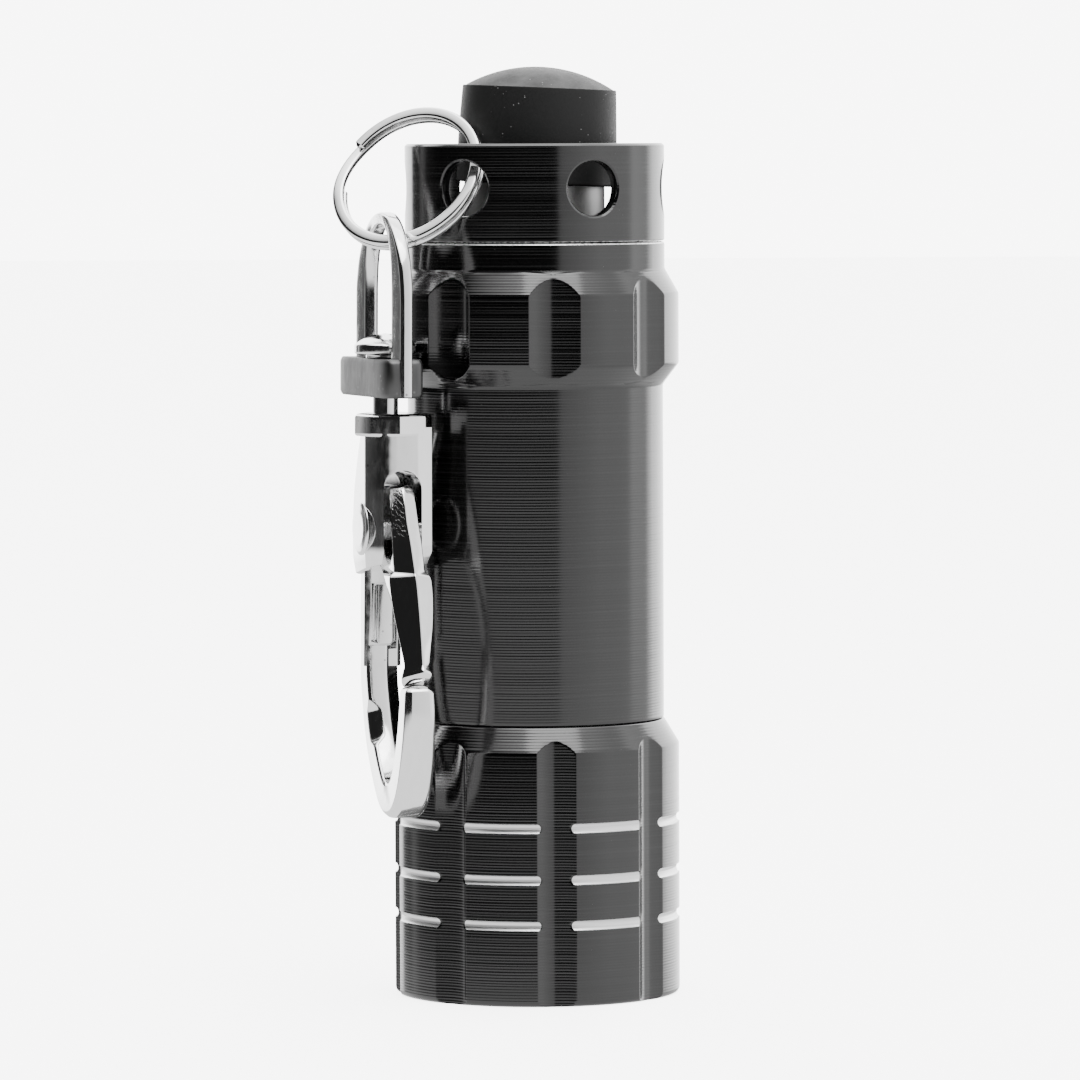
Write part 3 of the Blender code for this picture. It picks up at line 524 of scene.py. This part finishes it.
def open_coil(low, high, low_r, high_r, turns, wire_r, place, name, material):
    """A coil spring: a round section carried along a helix whose ends close up flat, so that it can stand."""
    share = np.linspace(0.0, 1.0, int(turns * 40) + 1)
    angle = TAU * turns * share
    rise = np.clip((share - 0.12) / 0.76, 0.0, 1.0)
    climb = low + (high - low) * (rise + 0.02 * np.sin(TAU * rise))
    radius = low_r + (high_r - low_r) * share
    ring = np.linspace(0.0, TAU, 14, endpoint=False)[:, None]
    out = radius + wire_r * np.cos(ring)
    grid = np.stack([out * np.cos(angle), out * np.sin(angle), climb + wire_r * np.sin(ring)], -1)
    return build(name, [shell(grid.transpose(1, 0, 2), (False, True))], place, material)


def turned_pieces():
    """The light engine, the cells and the switch, turned about the torch's axis."""
    lens_ring = [(7.7, 1.95), (7.7, 0.35), (6.9, 0.35), (6.5, 0.75), (6.5, 1.95)]
    build("lens_retaining_ring", [lathed(lens_ring, 160)], TORCH, BLACK)
    dish = [(0.0, 3.75), (7.7, 3.75), (7.7, 2.25), (6.2, 2.25), (0.0, 2.05)]
    build("lens", [lathed(dish, 160, closed=False)], TORCH, CLEAR)
    seal_section = [(r, z) for r, z in zip(*o_section(7.3, 4.4, 0.4))]
    build("lens_o_ring", [lathed(seal_section, 96, 0.0)], TORCH, SEAL_RUBBER)
    seal_section = [(r, z) for r, z in zip(*o_section(7.08, 48.8, 0.3))]
    build("tail_o_ring", [lathed(seal_section, 96, 0.0)], TORCH, SEAL_RUBBER)
    sleeve = [(6.6, 41.4), (6.6, 15.5), (6.1, 15.5), (6.1, 41.4)]
    build("battery_sleeve", [lathed(sleeve, 96)], TORCH, WHITE)
    cell = [(0.0, 5.2), (5.8, 5.2), (5.8, 0.95), (5.45, 0.75), (5.2, 0.0), (0.0, 0.0)]
    for i in range(4):
        raised = [(r, 19.4 + 5.5 * i + z) for r, z in cell]
        build(f"battery_cell_{i + 1}", [lathed(raised, 96, closed=False)], TORCH, NICKEL)
    bush = [(4.66, 57.0), (4.66, 50.3), (5.7, 50.3), (5.7, 49.3), (2.5, 49.3), (2.5, 51.2), (3.5, 51.2),
            (3.5, 57.0)]
    build("switch_bush", [lathed(bush)], TORCH, NICKEL)
    plunger = [(0.0, 58.5), (3.25, 58.5), (3.25, 57.6), (2.2, 57.6), (2.2, 48.2), (0.0, 48.2)]
    build("switch_plunger", [lathed(plunger, closed=False)], TORCH, WHITE)
    body = [(5.7, 49.0), (5.7, 45.5), (0.0, 45.5), (0.0, 46.1), (3.6, 46.1), (3.6, 49.0)]
    build("switch_body", [lathed(body)], TORCH, DARK_PLASTIC)
    contact = [(0.0, 46.9), (1.2, 46.85), (2.4, 46.7), (3.2, 46.4), (0.0, 46.4)]
    build("switch_contact", [lathed(contact, closed=False)], TORCH, NICKEL)
    open_coil(13.85, 19.0, 4.2, 2.4, 3.5, 0.28, TORCH, "head_contact_spring", SPRING_WIRE)
    return_spring = open_coil(51.72, 57.08, 2.85, 2.85, 4.5, 0.22, TORCH, "switch_spring", SPRING_WIRE)
    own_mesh(return_spring)
    open_coil(41.5, 45.0, 2.4, 4.2, 3.0, 0.28, TORCH, "tail_contact_spring", SPRING_WIRE)


def o_section(radius, height, wire_r):
    """A round section for a seal, as its radii and heights."""
    angle = np.linspace(0.0, TAU, 20, endpoint=False)
    return radius + wire_r * np.cos(angle), height + wire_r * np.sin(angle)


def lamps():
    """The lamps: each is a flange, a barrel and a half-round dome that points down."""
    dome = np.radians(np.linspace(0.0, 90.0, 13))
    cap = np.stack([LED_R * np.cos(dome), LED_DOME_Z - LED_R * np.sin(dome)], -1)
    body = np.array([(0.0, 11.7), (2.9, 11.7), (2.9, 10.7), (LED_R, 10.7)])
    for i in range(LEDS):
        aim = math.radians(360.0 / LEDS * i)
        centre = np.array([math.sin(aim), -math.cos(aim), 0.0]) * LED_AT
        corners, faces, marks = lathed(np.concatenate([body, cap]), 64, 0.05, False)
        build(f"led_{i + 1}", [(corners + centre, faces, marks)], TORCH, EPOXY)


def reflector():
    """The lamp holder: a disc with three round sockets that flare at their mouths, laid out as three sectors,
    each ruled from its socket's edge to the sector's edge."""
    low, high, radius, socket_r, at, flare, mouth = 5.9, 10.4, 7.3, 2.75, LED_AT, 0.62, 1.06
    count = 96
    shells = []
    for i in range(LEDS):
        aim = 360.0 / LEDS * i
        half = math.pi / LEDS
        side = np.linspace(0.0, 1.0, count // 4, endpoint=False)
        arc = np.linspace(-half, half, count // 2, endpoint=False)
        left = np.stack([-math.sin(half) * radius * side, math.cos(half) * radius * side], -1)
        rim = np.stack([np.sin(arc) * radius, np.cos(arc) * radius], -1)
        right = np.stack([math.sin(half) * radius * (1 - side), math.cos(half) * radius * (1 - side)], -1)
        edge = np.concatenate([left, rim, right])
        around = np.arctan2(edge[:, 1] - at, edge[:, 0])
        circle = np.stack([np.cos(around), np.sin(around)], -1)
        rings = [(edge, low)]
        rings += [(circle * (socket_r + flare * f**2) + (0.0, at), low + mouth * (1 - f))
                  for f in (1, 0.8, 0.6, 0.3, 0)]
        rings += [(circle * socket_r + (0.0, at), high), (edge, high)]
        grid = np.array([np.column_stack([xy[:, 0], -xy[:, 1], np.full(len(xy), z)]) for xy, z in rings])
        wall = np.array([np.column_stack([rim[:, 0], -rim[:, 1], np.full(len(rim), z)]) for z in (high, low)])
        last = np.array([[math.sin(half) * radius, -math.cos(half) * radius, z]
                         for z in (high, low)])[:, None]
        for points, wrap in ((grid, (False, True)), (np.concatenate([wall, last], 1), (False, False))):
            corners, faces, marks = shell(points, wrap)
            shells.append((corners @ turn("Z", aim), faces, marks))
    build("reflector", shells, TORCH, METALLISED)


def led_board():
    disc = [(0.0, 13.2), (7.3, 13.2), (7.3, 12.0), (0.0, 12.0)]
    build("led_board", [lathed(disc, 96, closed=False)], TORCH, BOARD)


def push_button():
    """The rubber button: a low spherical crown with a soft shoulder, over a skirt that spreads a little."""
    top, shoulder, crown_r = 61.7, 60.2, 5.1
    rise = top - shoulder
    sphere = (crown_r**2 + rise**2) / (2 * rise)
    r = np.linspace(0.0, 0.965, 20) * crown_r
    crown = np.stack([r, top - sphere + np.sqrt(sphere**2 - r**2)], -1)
    skirt = rounded([crown[-1], (5.1, shoulder + 0.12), (5.14, shoulder - 0.5), (5.27, 57.0), (5.27, 53.9),
                     (4.75, 53.9), (4.75, 58.8), (0.0, 58.8)], 0.2, False, 6)
    line = np.concatenate([crown, skirt[1:]]) - (0.0, BUTTON_LEAN_Z)
    angle = np.linspace(0.0, TAU, 160, endpoint=False)
    grid = np.stack([line[:, :1] * np.cos(angle), line[:, :1] * np.sin(angle), line[:, 1:] + 0.0 * angle], -1)
    build("push_button", [shell(grid, (False, True))], BUTTON, BUTTON_RUBBER)


# ---------------------------------------------------------------------------- ring and clasp


def split_ring():
    """Two flat turns of wire, stepped over each other in the gap between the wire's ends: a rounded section
    carried round the ring, raised by half the pitch each way with a smooth step between."""
    radius, wide, thick, pitch, start, sweep = 4.98, 0.78, 0.44, 0.53, 145.0, 683.0
    section = rounded([(-wide / 2, -thick / 2), (wide / 2, -thick / 2), (wide / 2, thick / 2),
                       (-wide / 2, thick / 2)], 0.2, steps=5)
    along = np.linspace(0.0, sweep, 300)
    gap_start, gap_end = sweep / 2 - 30.0, sweep / 2 + 30.0
    share = np.clip((along - gap_start) / (gap_end - gap_start), 0.0, 1.0)
    lift = pitch * (share**2 * (3 - 2 * share) - 0.5)
    end = np.minimum(along, sweep - along)
    taper = np.clip(end / 2.0, 0.35, 1.0)[:, None]
    angle = np.radians(start + along)[:, None]
    out = radius + section[:, 0] * taper
    grid = np.stack([out * np.cos(angle), out * np.sin(angle), lift[:, None] + section[:, 1] * taper], -1)
    build("split_ring", [shell(grid, (False, True))], RING, WIRE)


def arch_line(half_w, top, rise, foot, squareness, count=72):
    """An arch as points: straight legs up from the foot, closed by half a superellipse."""
    angle = np.linspace(math.pi, 0.0, count)
    u = half_w * np.sign(np.cos(angle)) * np.abs(np.cos(angle)) ** (2 / squareness)
    z = top - rise + rise * np.sin(angle) ** (2 / squareness)
    return np.concatenate([[(-half_w, foot)], np.stack([u, z], -1), [(half_w, foot)]])


def swivel_bail():
    """The bail: a flat strap bent into an arch, with softened corners, on a block with rounded ends that is
    bored for the rivet. The strap spans from the inner to the outer arch at each step along it."""
    half, thick, foot = 4.9, 1.02, 40.16
    outer = arch_line(half, 52.13, 5.8, foot, 2.0)
    inner = arch_line(half - 2.0, 52.13 - 0.88, 5.8 - 0.88, foot, 2.6)
    corner = [(0.1, -thick / 2), (1.0, -thick / 2), (1.0, thick / 2), (0.0, thick / 2)]
    span = np.linalg.norm(outer - inner, axis=1)
    sections = np.array(corner)[None] * np.stack([span, np.ones_like(span)], -1)[:, None]
    lean = 0.12 * (outer[:, :1] - inner[:, :1]) * (np.array(corner)[:, 0] - 0.5)
    sections[..., 1] *= 1 - lean / (thick / 2)
    soft = rounded(sections, 0.24, steps=5)
    across = (outer - inner) / span[:, None]
    plane = inner[:, None] + across[:, None] * soft[..., :1]
    strap = np.stack([plane[..., 0], soft[..., 1], plane[..., 1]], -1)
    angle = np.linspace(0.0, TAU, 128, endpoint=False)
    long, deep, power, shift = 5.0, 1.6, 0.22, -0.33
    shape = np.stack([long * np.sign(np.cos(angle)) * np.abs(np.cos(angle)) ** 0.34,
                      deep * np.sign(np.sin(angle)) * np.abs(np.sin(angle)) ** power], -1)
    round_hole = np.stack([1.55 * np.cos(angle), 1.55 * np.sin(angle) * 0.86], -1)
    low, high, bevel = 40.06, 42.57, 0.3
    shape[:, 1] *= 1 - 0.03 * shape[:, 0]
    shape[:, 0] += shift
    lines = []
    for share, z in ((0.0, high - bevel), (0.45, high - bevel * 0.35), (1.0, high)):
        lines.append(np.column_stack([shape * (1 - 0.055 * share), np.full(128, z)]))
    for z in (high, low):
        lines.append(np.column_stack([round_hole, np.full(128, z)]))
    for share, z in ((1.0, low), (0.45, low + bevel * 0.35), (0.0, low + bevel)):
        lines.append(np.column_stack([shape * (1 - 0.055 * share), np.full(128, z)]))
    lines = np.array(lines)
    shells = [shell(rested(strap), (False, True)),
              shell(rested(lines), (True, True), np.ones(lines.shape[:2]))]
    build("swivel_bail", shells, clasp_place(), CAST)


def swivel_rivet():
    """The rivet: a low domed head with a flat rim, on a plain shank."""
    dome = [(0.0, 44.2), (0.75, 44.1), (1.45, 43.85), (1.85, 43.6)]
    rest = [(2.05, 43.45), (2.05, 42.87), (1.3, 42.87), (1.3, 41.0), (0.86, 40.4), (0.84, 40.2), (0.84, 38.9),
            (0.84, 38.2), (1.3, 38.0), (1.3, 37.2), (0.0, 37.2)]
    line = [(r, z - HANG[2]) for r, z in dome + rest]
    build("swivel_rivet", [lathed(line, 96, 0.12, False)], clasp_place(), CAST)


def half_section(back, side_back, side_front, near, far, floor, slot):
    """One half of a level section, from its back to its slot's floor: each corner is (depth, thickness), and
    the slot's lip is where its wall meets the straight line from the near front corner to the far one."""
    (near_u, near_t), (far_u, far_t) = near, far
    lip_t = np.maximum(far_t, slot)
    lip_u = far_u + (near_u - far_u) / (near_t - far_t) * (lip_t - far_t)
    slot_u = np.where(slot > far_t, lip_u, far_u)
    corners = [back, side_back, side_front, near, (lip_u, lip_t), (slot_u, slot),
               (np.minimum(floor, slot_u), slot)]
    return np.stack([np.stack(np.broadcast_arrays(u, t), -1) for u, t in corners], 1)


def slotted(z, left, right, soft=0.14):
    """Level sections of a faceted bar with a slot down its front, from its two halves: round one and back,
    mirrored, round the other."""
    outline = rounded(np.concatenate([right, left[:, ::-1] * (1.0, -1.0)], 1), soft, steps=3)
    return np.stack([outline[..., 0], outline[..., 1], z[:, None] + 0.0 * outline[..., 0]], -1)


def hook_housing():
    """The clasp's upper body: faceted cheeks round the gate's slot, which has an arched top and is open
    below."""
    slot_floor, slot_half, slot_top = -2.6, 1.3, 35.3
    arch_angle = np.linspace(0.0, 90.0, 10)
    heights = [38.1, 37.2, 36.2, slot_top]
    rows = [(z, 0.0, 9.0) for z in heights]
    rows += [(slot_top - slot_half * (1 - math.cos(math.radians(a))), slot_half * math.sin(math.radians(a)),
              slot_floor) for a in arch_angle]
    rows += [(z, slot_half, slot_floor) for z in (33.0, 31.5, 30.2, 29.4, 28.8, 28.4, 28.2)]
    z, slot, floor = np.array(rows).T
    down = (38.1 - z) / 9.9
    taper = np.maximum(0.0, (29.4 - z) / 1.2)
    back = -1.9 - 2.0 * np.sin(np.minimum(1.0, down * 1.5) * math.pi / 2)
    front = 2.2 + 0.12 * down - 0.45 * taper
    thick = 2.04 - 0.2 * taper
    ends = ((back, 1.2 + 0.0 * z), (back + 0.8, thick - 0.2))
    left = half_section(*ends, (front - 1.9, thick), (front - 0.07, 1.3 + 0.0 * z), (front, 0.4), floor, slot)
    right = half_section(*ends, (front - 0.34, thick + 0.04), (front - 0.3, thick + 0.02), (front, 1.05),
                         floor, slot)
    grid = slotted(z, left, right, 0.1)
    fall = np.clip((31.0 - grid[..., 2]) / 2.8, 0.0, 1.0)
    grid[..., 2] += 0.17 * (grid[..., 0] + 3.9) * fall
    return shell(rested(grid), (False, True))


def hook_spine():
    """The back bar below the housing, with a long window pressed into its front face."""
    z = np.array([30.0, 29.0, 26.0, 23.35, 23.3, 22.7, 22.2])
    window = z > 23.32
    down = (30.0 - z) / 7.8
    front, back = -1.95 - 0.15 * down, -3.95 - 0.12 * np.sin(down * math.pi)
    floor, slot = np.where(window, front - 0.95, 9.0), np.where(window, 0.86, 0.0)
    half = half_section((back, 0.8), (back + 0.45, 1.15), (front - 0.3, 1.27), (front - 0.12, 1.14),
                        (front, 0.95), floor, slot)
    return shell(rested(slotted(z, half, half)), (False, True))


def hook_panel():
    """The raised panel in the spine's window."""
    low, high = 23.7, 27.6
    corners = rounded([(-3.1, -0.44), (-2.15, -0.44), (-2.15, 0.66), (-3.1, 0.66)], 0.1)
    lines = [np.column_stack([corners * (1.0, s), np.full(len(corners), z)])
             for s, z in ((0.85, low), (1.0, low + 0.15), (1.0, high - 0.15), (0.85, high))]
    return shell(rested(np.array(lines)), (False, True))


def smooth_path(points, count):
    """A smooth curve through points: a cubic through each stretch, with slopes taken from the neighbours on
    either side, sampled evenly."""
    p = np.asarray(points, float)
    slope = np.gradient(p, axis=0)
    s = np.linspace(0.0, len(p) - 1.000001, count)
    i = s.astype(int)
    t = (s - i)[:, None]
    a, b, ma, mb = p[i], p[i + 1], slope[i], slope[i + 1]
    return ((2 * t**3 - 3 * t**2 + 1) * a + (t**3 - 2 * t**2 + t) * ma
            + (3 * t**2 - 2 * t**3) * b + (t**3 - t**2) * mb)


def hook_bowl():
    """The hook: a bar with a broad flat outer face carried down the spine, round the bowl and up to a
    rounded tip. One inner edge is cut back further over a short stretch of the spine. Columns of the path
    are its place, its half-depth and its half-width."""
    path = [(-3.0, 23.6, 1.02, 1.12), (-3.05, 21.6, 1.1, 1.12), (-2.6, 19.8, 1.12, 1.13),
            (-1.95, 18.0, 1.14, 1.15), (-1.05, 16.4, 1.15, 1.16), (0.15, 14.9, 1.15, 1.18),
            (1.15, 14.02, 1.15, 1.2), (2.2, 13.7, 1.15, 1.2), (3.3, 14.0, 1.14, 1.18),
            (4.2, 15.0, 1.1, 1.16), (4.85, 16.6, 1.06, 1.12), (5.25, 18.3, 1.0, 1.06),
            (5.42, 19.7, 0.95, 1.02), (5.46, 21.0, 0.86, 0.96)]
    line = smooth_path(path, 120)
    centre, depth, width = line[:, :2], line[:, 2:3], line[:, 3:]
    tangent = np.gradient(centre, axis=0)
    tangent /= np.linalg.norm(tangent, axis=1, keepdims=True)
    outward = np.stack([tangent[:, 1], -tangent[:, 0]], -1)
    on_spine = (centre[:, 0] < 0.0) & (centre[:, 1] > 15.0)
    flute = np.where(on_spine, np.clip((1.7 - np.abs(centre[:, 1] - 18.1)) / 0.9, 0.0, 1.0), 0.0)
    flute = flute**2 * (3 - 2 * flute)
    inner = 0.12 + 0.5 * flute
    level = np.zeros_like(inner)
    corners = [(level + 1, level - 0.68), (level + 1, level + 0.68), (level + 0.72, level + 1),
               (level - 0.4, level + 1), (level - 1, level + 0.16), (level - 1, inner - 1),
               (inner - 1, level - 1), (level + 0.72, level - 1)]
    octagon = rounded(np.stack([np.stack(corner, -1) for corner in corners], 1), 0.14, steps=4)
    offset = outward[:, None] * octagon[..., :1] * depth[:, None]
    sections = centre[:, None] + offset
    t = octagon[..., 1] * (width + 0.055 * offset[..., 0])
    end = sections[-1]
    caps = []
    for share, reach in ((0.93, 0.18), (0.75, 0.34), (0.45, 0.44), (0.0, 0.48)):
        spread = centre[-1] + (end - centre[-1]) * share + tangent[-1] * reach
        caps.append(np.column_stack([spread[:, 0], t[-1] * share, spread[:, 1]]))
    grid = np.concatenate([np.stack([sections[..., 0], t, sections[..., 1]], -1), np.array(caps)])
    return shell(rested(grid), (False, True))


def hook_flange():
    """The collar under the swivel: an eight-sided disc with chamfered rims."""
    angle = np.linspace(0.0, TAU, 160, endpoint=False)
    facet = (angle + TAU / 16 + math.radians(-15.5)) % (TAU / 8) - TAU / 16
    side = 0.955 / np.cos(facet)
    round_share = 0.15
    out = 2.5 * (side * (1 - round_share) + round_share * 0.99)
    rows = [(0.0, 39.0), (0.8, 39.0), (0.92, 38.95), (0.985, 38.82), (1.0, 38.68), (1.0, 38.62), (1.0, 37.72),
            (1.0, 37.66), (0.985, 37.56), (0.94, 37.5), (0.0, 37.5)]
    grid = np.array([np.stack([out * s * np.cos(angle), out * s * np.sin(angle), z + 0.0 * angle], -1)
                     for s, z in rows])
    return shell(rested(grid), (False, True))


def hook_body():
    shells = [hook_flange(), hook_housing(), hook_spine(), hook_panel(), hook_bowl()]
    build("hook_body", shells, hook_place(), CAST)


PIVOT_U, PIVOT_Z = -0.6, 31.4


def gate_pivot_pin():
    """The pivot: a pin with a low domed head on each cheek."""
    half = [(0.0, 2.23), (1.1, 2.21), (1.55, 2.16), (1.76, 2.08), (1.76, 2.0), (0.6, 2.0)]
    line = half + [(r, -z) for r, z in reversed(half)]
    origin, axes = hook_place(PIVOT_U, PIVOT_Z)
    build("gate_pivot_pin", [lathed(line, 72, 0.08, False)], (origin, turn("X", 90) @ axes), CAST)


def gate_lever():
    """The gate: level sections with a ridge down the front, flat cheeks and a flat back. It is narrow in the
    housing's slot, widens at a shoulder below it, and ends in a rolled lip over the hook's tip."""
    keys = np.array([
        (34.32, 1.3, -0.4, 0.36), (34.28, 1.9, -0.8, 0.6), (34.05, 2.28, -1.1, 0.76),
        (33.3, 2.66, -1.6, 0.84), (31.9, 3.22, -1.8, 0.88), (30.6, 3.76, -1.6, 0.94),
        (29.4, 4.12, -0.4, 0.98), (28.8, 4.3, 0.6, 1.0), (28.4, 4.48, 2.2, 1.34),
        (27.6, 4.76, 2.9, 1.38), (26.7, 5.05, 3.5, 1.34), (25.3, 5.42, 4.2, 1.2), (24.0, 5.7, 4.7, 1.0),
        (22.9, 5.88, 5.0, 0.84), (22.5, 6.0, 4.9, 0.92), (22.1, 6.16, 4.8, 1.04),
        (21.8, 6.12, 4.85, 1.02), (21.62, 5.95, 4.95, 0.9), (21.52, 5.7, 5.1, 0.6),
    ])
    z, front, back, half = smooth_path(keys, 90).T
    left_side = front - 0.8 * np.minimum(1.0, half)
    right_side = front - 0.38 * np.minimum(1.0, half)
    narrow = half * np.clip(0.82 + 0.18 * (z - 26.0) / 3.0, 0.82, 1.0)
    flat = 0.08
    ridge_t = 0.26 * np.clip((32.0 - z) / 4.0, 0.0, 1.0)
    outline = np.stack([
        np.stack([back, -narrow], -1),
        np.stack([left_side, -half], -1),
        np.stack([front, ridge_t - flat], -1),
        np.stack([front, ridge_t + flat], -1),
        np.stack([right_side, half], -1),
        np.stack([back, narrow], -1),
    ], 1)
    softness = 0.1 + 0.4 * np.clip((22.9 - z) / 0.5, 0.0, 1.0)
    soft = rounded(outline, softness[:, None, None], steps=5)
    grid = np.stack([soft[..., 0], soft[..., 1], z[:, None] + 0.0 * soft[..., 0]], -1)
    fall = np.clip((24.0 - grid[..., 2]) / 2.4, 0.0, 1.0)
    grid[..., 2] += (0.591 * (grid[..., 0] - 5.2) - 0.14) * fall
    build("gate_lever", [shell(rested(grid), (False, True))], hook_place(), GATE)


def gate_spring():
    """The torsion spring: two turns about the pivot and a leg up the back of the slot."""
    leg = np.array([(-1.65, 0.35, 2.6), (-1.5, 0.35, 1.9), (-1.3, 0.35, 1.2)])
    angle = np.radians(170.0) + np.linspace(0.0, 2 * TAU, 80)
    coil = np.stack([1.1 * np.cos(angle), np.linspace(0.35, -0.35, 80), 1.1 * np.sin(angle)], -1)
    line = np.concatenate([leg, coil])
    tangent = np.gradient(line, axis=0)
    tangent /= np.linalg.norm(tangent, axis=1, keepdims=True)
    side = np.cross(tangent, (0.0, 1.0, 0.0))
    side /= np.linalg.norm(side, axis=1, keepdims=True)
    up = np.cross(side, tangent)
    ring = np.linspace(0.0, TAU, 12, endpoint=False)[None, :, None]
    grid = line[:, None] + 0.15 * (side[:, None] * np.cos(ring) + up[:, None] * np.sin(ring))
    build("gate_spring", [shell(grid, (False, True))], hook_place(PIVOT_U, PIVOT_Z), SPRING_WIRE)


head()
barrel()
tail_cap()
turned_pieces()
lamps()
reflector()
led_board()
push_button()
split_ring()
swivel_bail()
swivel_rivet()
hook_body()
gate_pivot_pin()
gate_lever()
gate_spring()

# ---------------------------------------------------------------------------- stage


def floor():
    mesh = bpy.data.meshes.new("floor")
    reach = 3.0
    mesh.from_pydata([(-reach, -reach, 0), (reach, -reach, 0), (reach, reach, 0), (-reach, reach, 0)], [],
                     [(0, 1, 2, 3)])
    plane = bpy.data.objects.new("floor", mesh)
    bpy.context.scene.collection.objects.link(plane)
    n = Nodes("pale_floor", Roughness=0.9)
    n.shader.inputs["Base Color"].default_value = grey(0.9)
    n.shader.inputs["Specular IOR Level"].default_value = 0.0
    n.shader.inputs["Emission Color"].default_value = grey(1.0)
    n.shader.inputs["Emission Strength"].default_value = 5.0
    mesh.materials.append(n.material)
    plane.visible_glossy = plane.visible_diffuse = False


def world():
    """A white room as the eye sees it. In reflections it is white behind the object, dim to the right, and
    black in front and to the left, with a pale ceiling."""
    sky = bpy.data.worlds.new("studio")
    sky.use_nodes = True
    tree = sky.node_tree
    tree.nodes.clear()

    def add(kind, inputs=(), **settings):
        node = tree.nodes.new("ShaderNode" + kind)
        for key, value in settings.items():
            setattr(node, key, value)
        for index, value in inputs:
            if isinstance(value, bpy.types.NodeSocket):
                tree.links.new(value, node.inputs[index])
            else:
                node.inputs[index].default_value = value
        return node

    ways = add("SeparateXYZ", [(0, add("TexCoord").outputs["Generated"])])
    away = add("Math", [(0, ways.outputs[1]), (1, -1.0)], operation="MULTIPLY")
    round_angle = add("Math", [(0, ways.outputs[0]), (1, away.outputs[0])], operation="ARCTAN2")
    share = add("MapRange", [(0, round_angle.outputs[0]), (1, -math.pi), (2, math.pi), (3, 0.0), (4, 1.0)])
    ramp = add("ValToRGB", [(0, share.outputs[0])])
    stops = [(-180, 1.0), (-142, 0.95), (-139, 0.05), (-133, 0.03), (-125, 0.02), (-119, 0.14),
             (-111, 0.02), (-95, 0.004), (20, 0.003), (22, 0.2), (60, 0.36), (92, 0.32), (98, 0.5),
             (118, 0.3), (130, 1.0), (180, 1.0)]
    elements = ramp.color_ramp.elements
    while len(elements) > 1:
        elements.remove(elements[-1])
    elements[0].position, elements[0].color = 0.0, grey(stops[0][1])
    for degrees, value in stops[1:]:
        elements.new((degrees + 180) / 360).color = grey(value)
    ceiling = add("MapRange", [(0, ways.outputs[2]), (1, 0.72), (2, 0.9), (3, 0.0), (4, 1.0)])
    table = add("MapRange", [(0, ways.outputs[2]), (1, -0.09), (2, -0.2), (3, 0.0), (4, 1.0)])
    upper = add("Mix", [(0, ceiling.outputs[0]), (6, ramp.outputs[0]), (7, grey(0.7))], data_type="RGBA")
    lower = add("Mix", [(0, table.outputs[0]), (6, upper.outputs[2]), (7, grey(0.3))], data_type="RGBA")
    light = add("Background", [(0, lower.outputs[2]), (1, 5.0)])
    seen = add("Background", [(0, grey(1.0)), (1, 8.0)])
    path = add("LightPath")
    both = add("MixShader", [(0, path.outputs["Is Camera Ray"]), (1, light.outputs[0]), (2, seen.outputs[0])])
    add("OutputWorld", [(0, both.outputs[0])])
    bpy.context.scene.world = sky


def soft_light(name, place, target, size, power):
    lamp = bpy.data.lights.new(name, "AREA")
    lamp.shape = "DISK"
    lamp.size = size
    lamp.energy = power
    obj = bpy.data.objects.new(name, lamp)
    bpy.context.scene.collection.objects.link(obj)
    obj.location = place
    obj.rotation_euler = (Vector(target) - Vector(place)).to_track_quat("-Z", "Y").to_euler()
    return obj


def camera():
    """A long lens, a little above the middle of the torch, looking slightly down."""
    distance, eye_z, aim_z, side, roll = 470.0, 56.6, 30.2, 0.27, -0.24
    view = bpy.data.cameras.new("camera")
    view.lens, view.sensor_width = 235.0, 36.0
    view.clip_start, view.clip_end = 0.01, 50.0
    obj = bpy.data.objects.new("camera", view)
    bpy.context.scene.collection.objects.link(obj)
    x, y = TORCH[0][0] + side, TORCH[0][1]
    drop = eye_z - aim_z
    place = Vector((x, y - math.sqrt(distance**2 - drop**2), eye_z)) * MM
    aim = Vector((x, y, aim_z)) * MM
    look = (aim - place).to_track_quat("-Z", "Y").to_matrix().to_4x4()
    obj.matrix_world = Matrix.Translation(place) @ look @ Matrix.Rotation(math.radians(roll), 4, "Z")
    bpy.context.scene.camera = obj


floor()
world()
soft_light("overhead_light", (0.1, -0.25, 0.5), (0.0, 0.0, 0.03), 0.35, 1.2)
soft_light("fill_light", (0.0, -0.1, 0.9), (0.0, 0.0, 0.0), 0.8, 2.0)
camera()
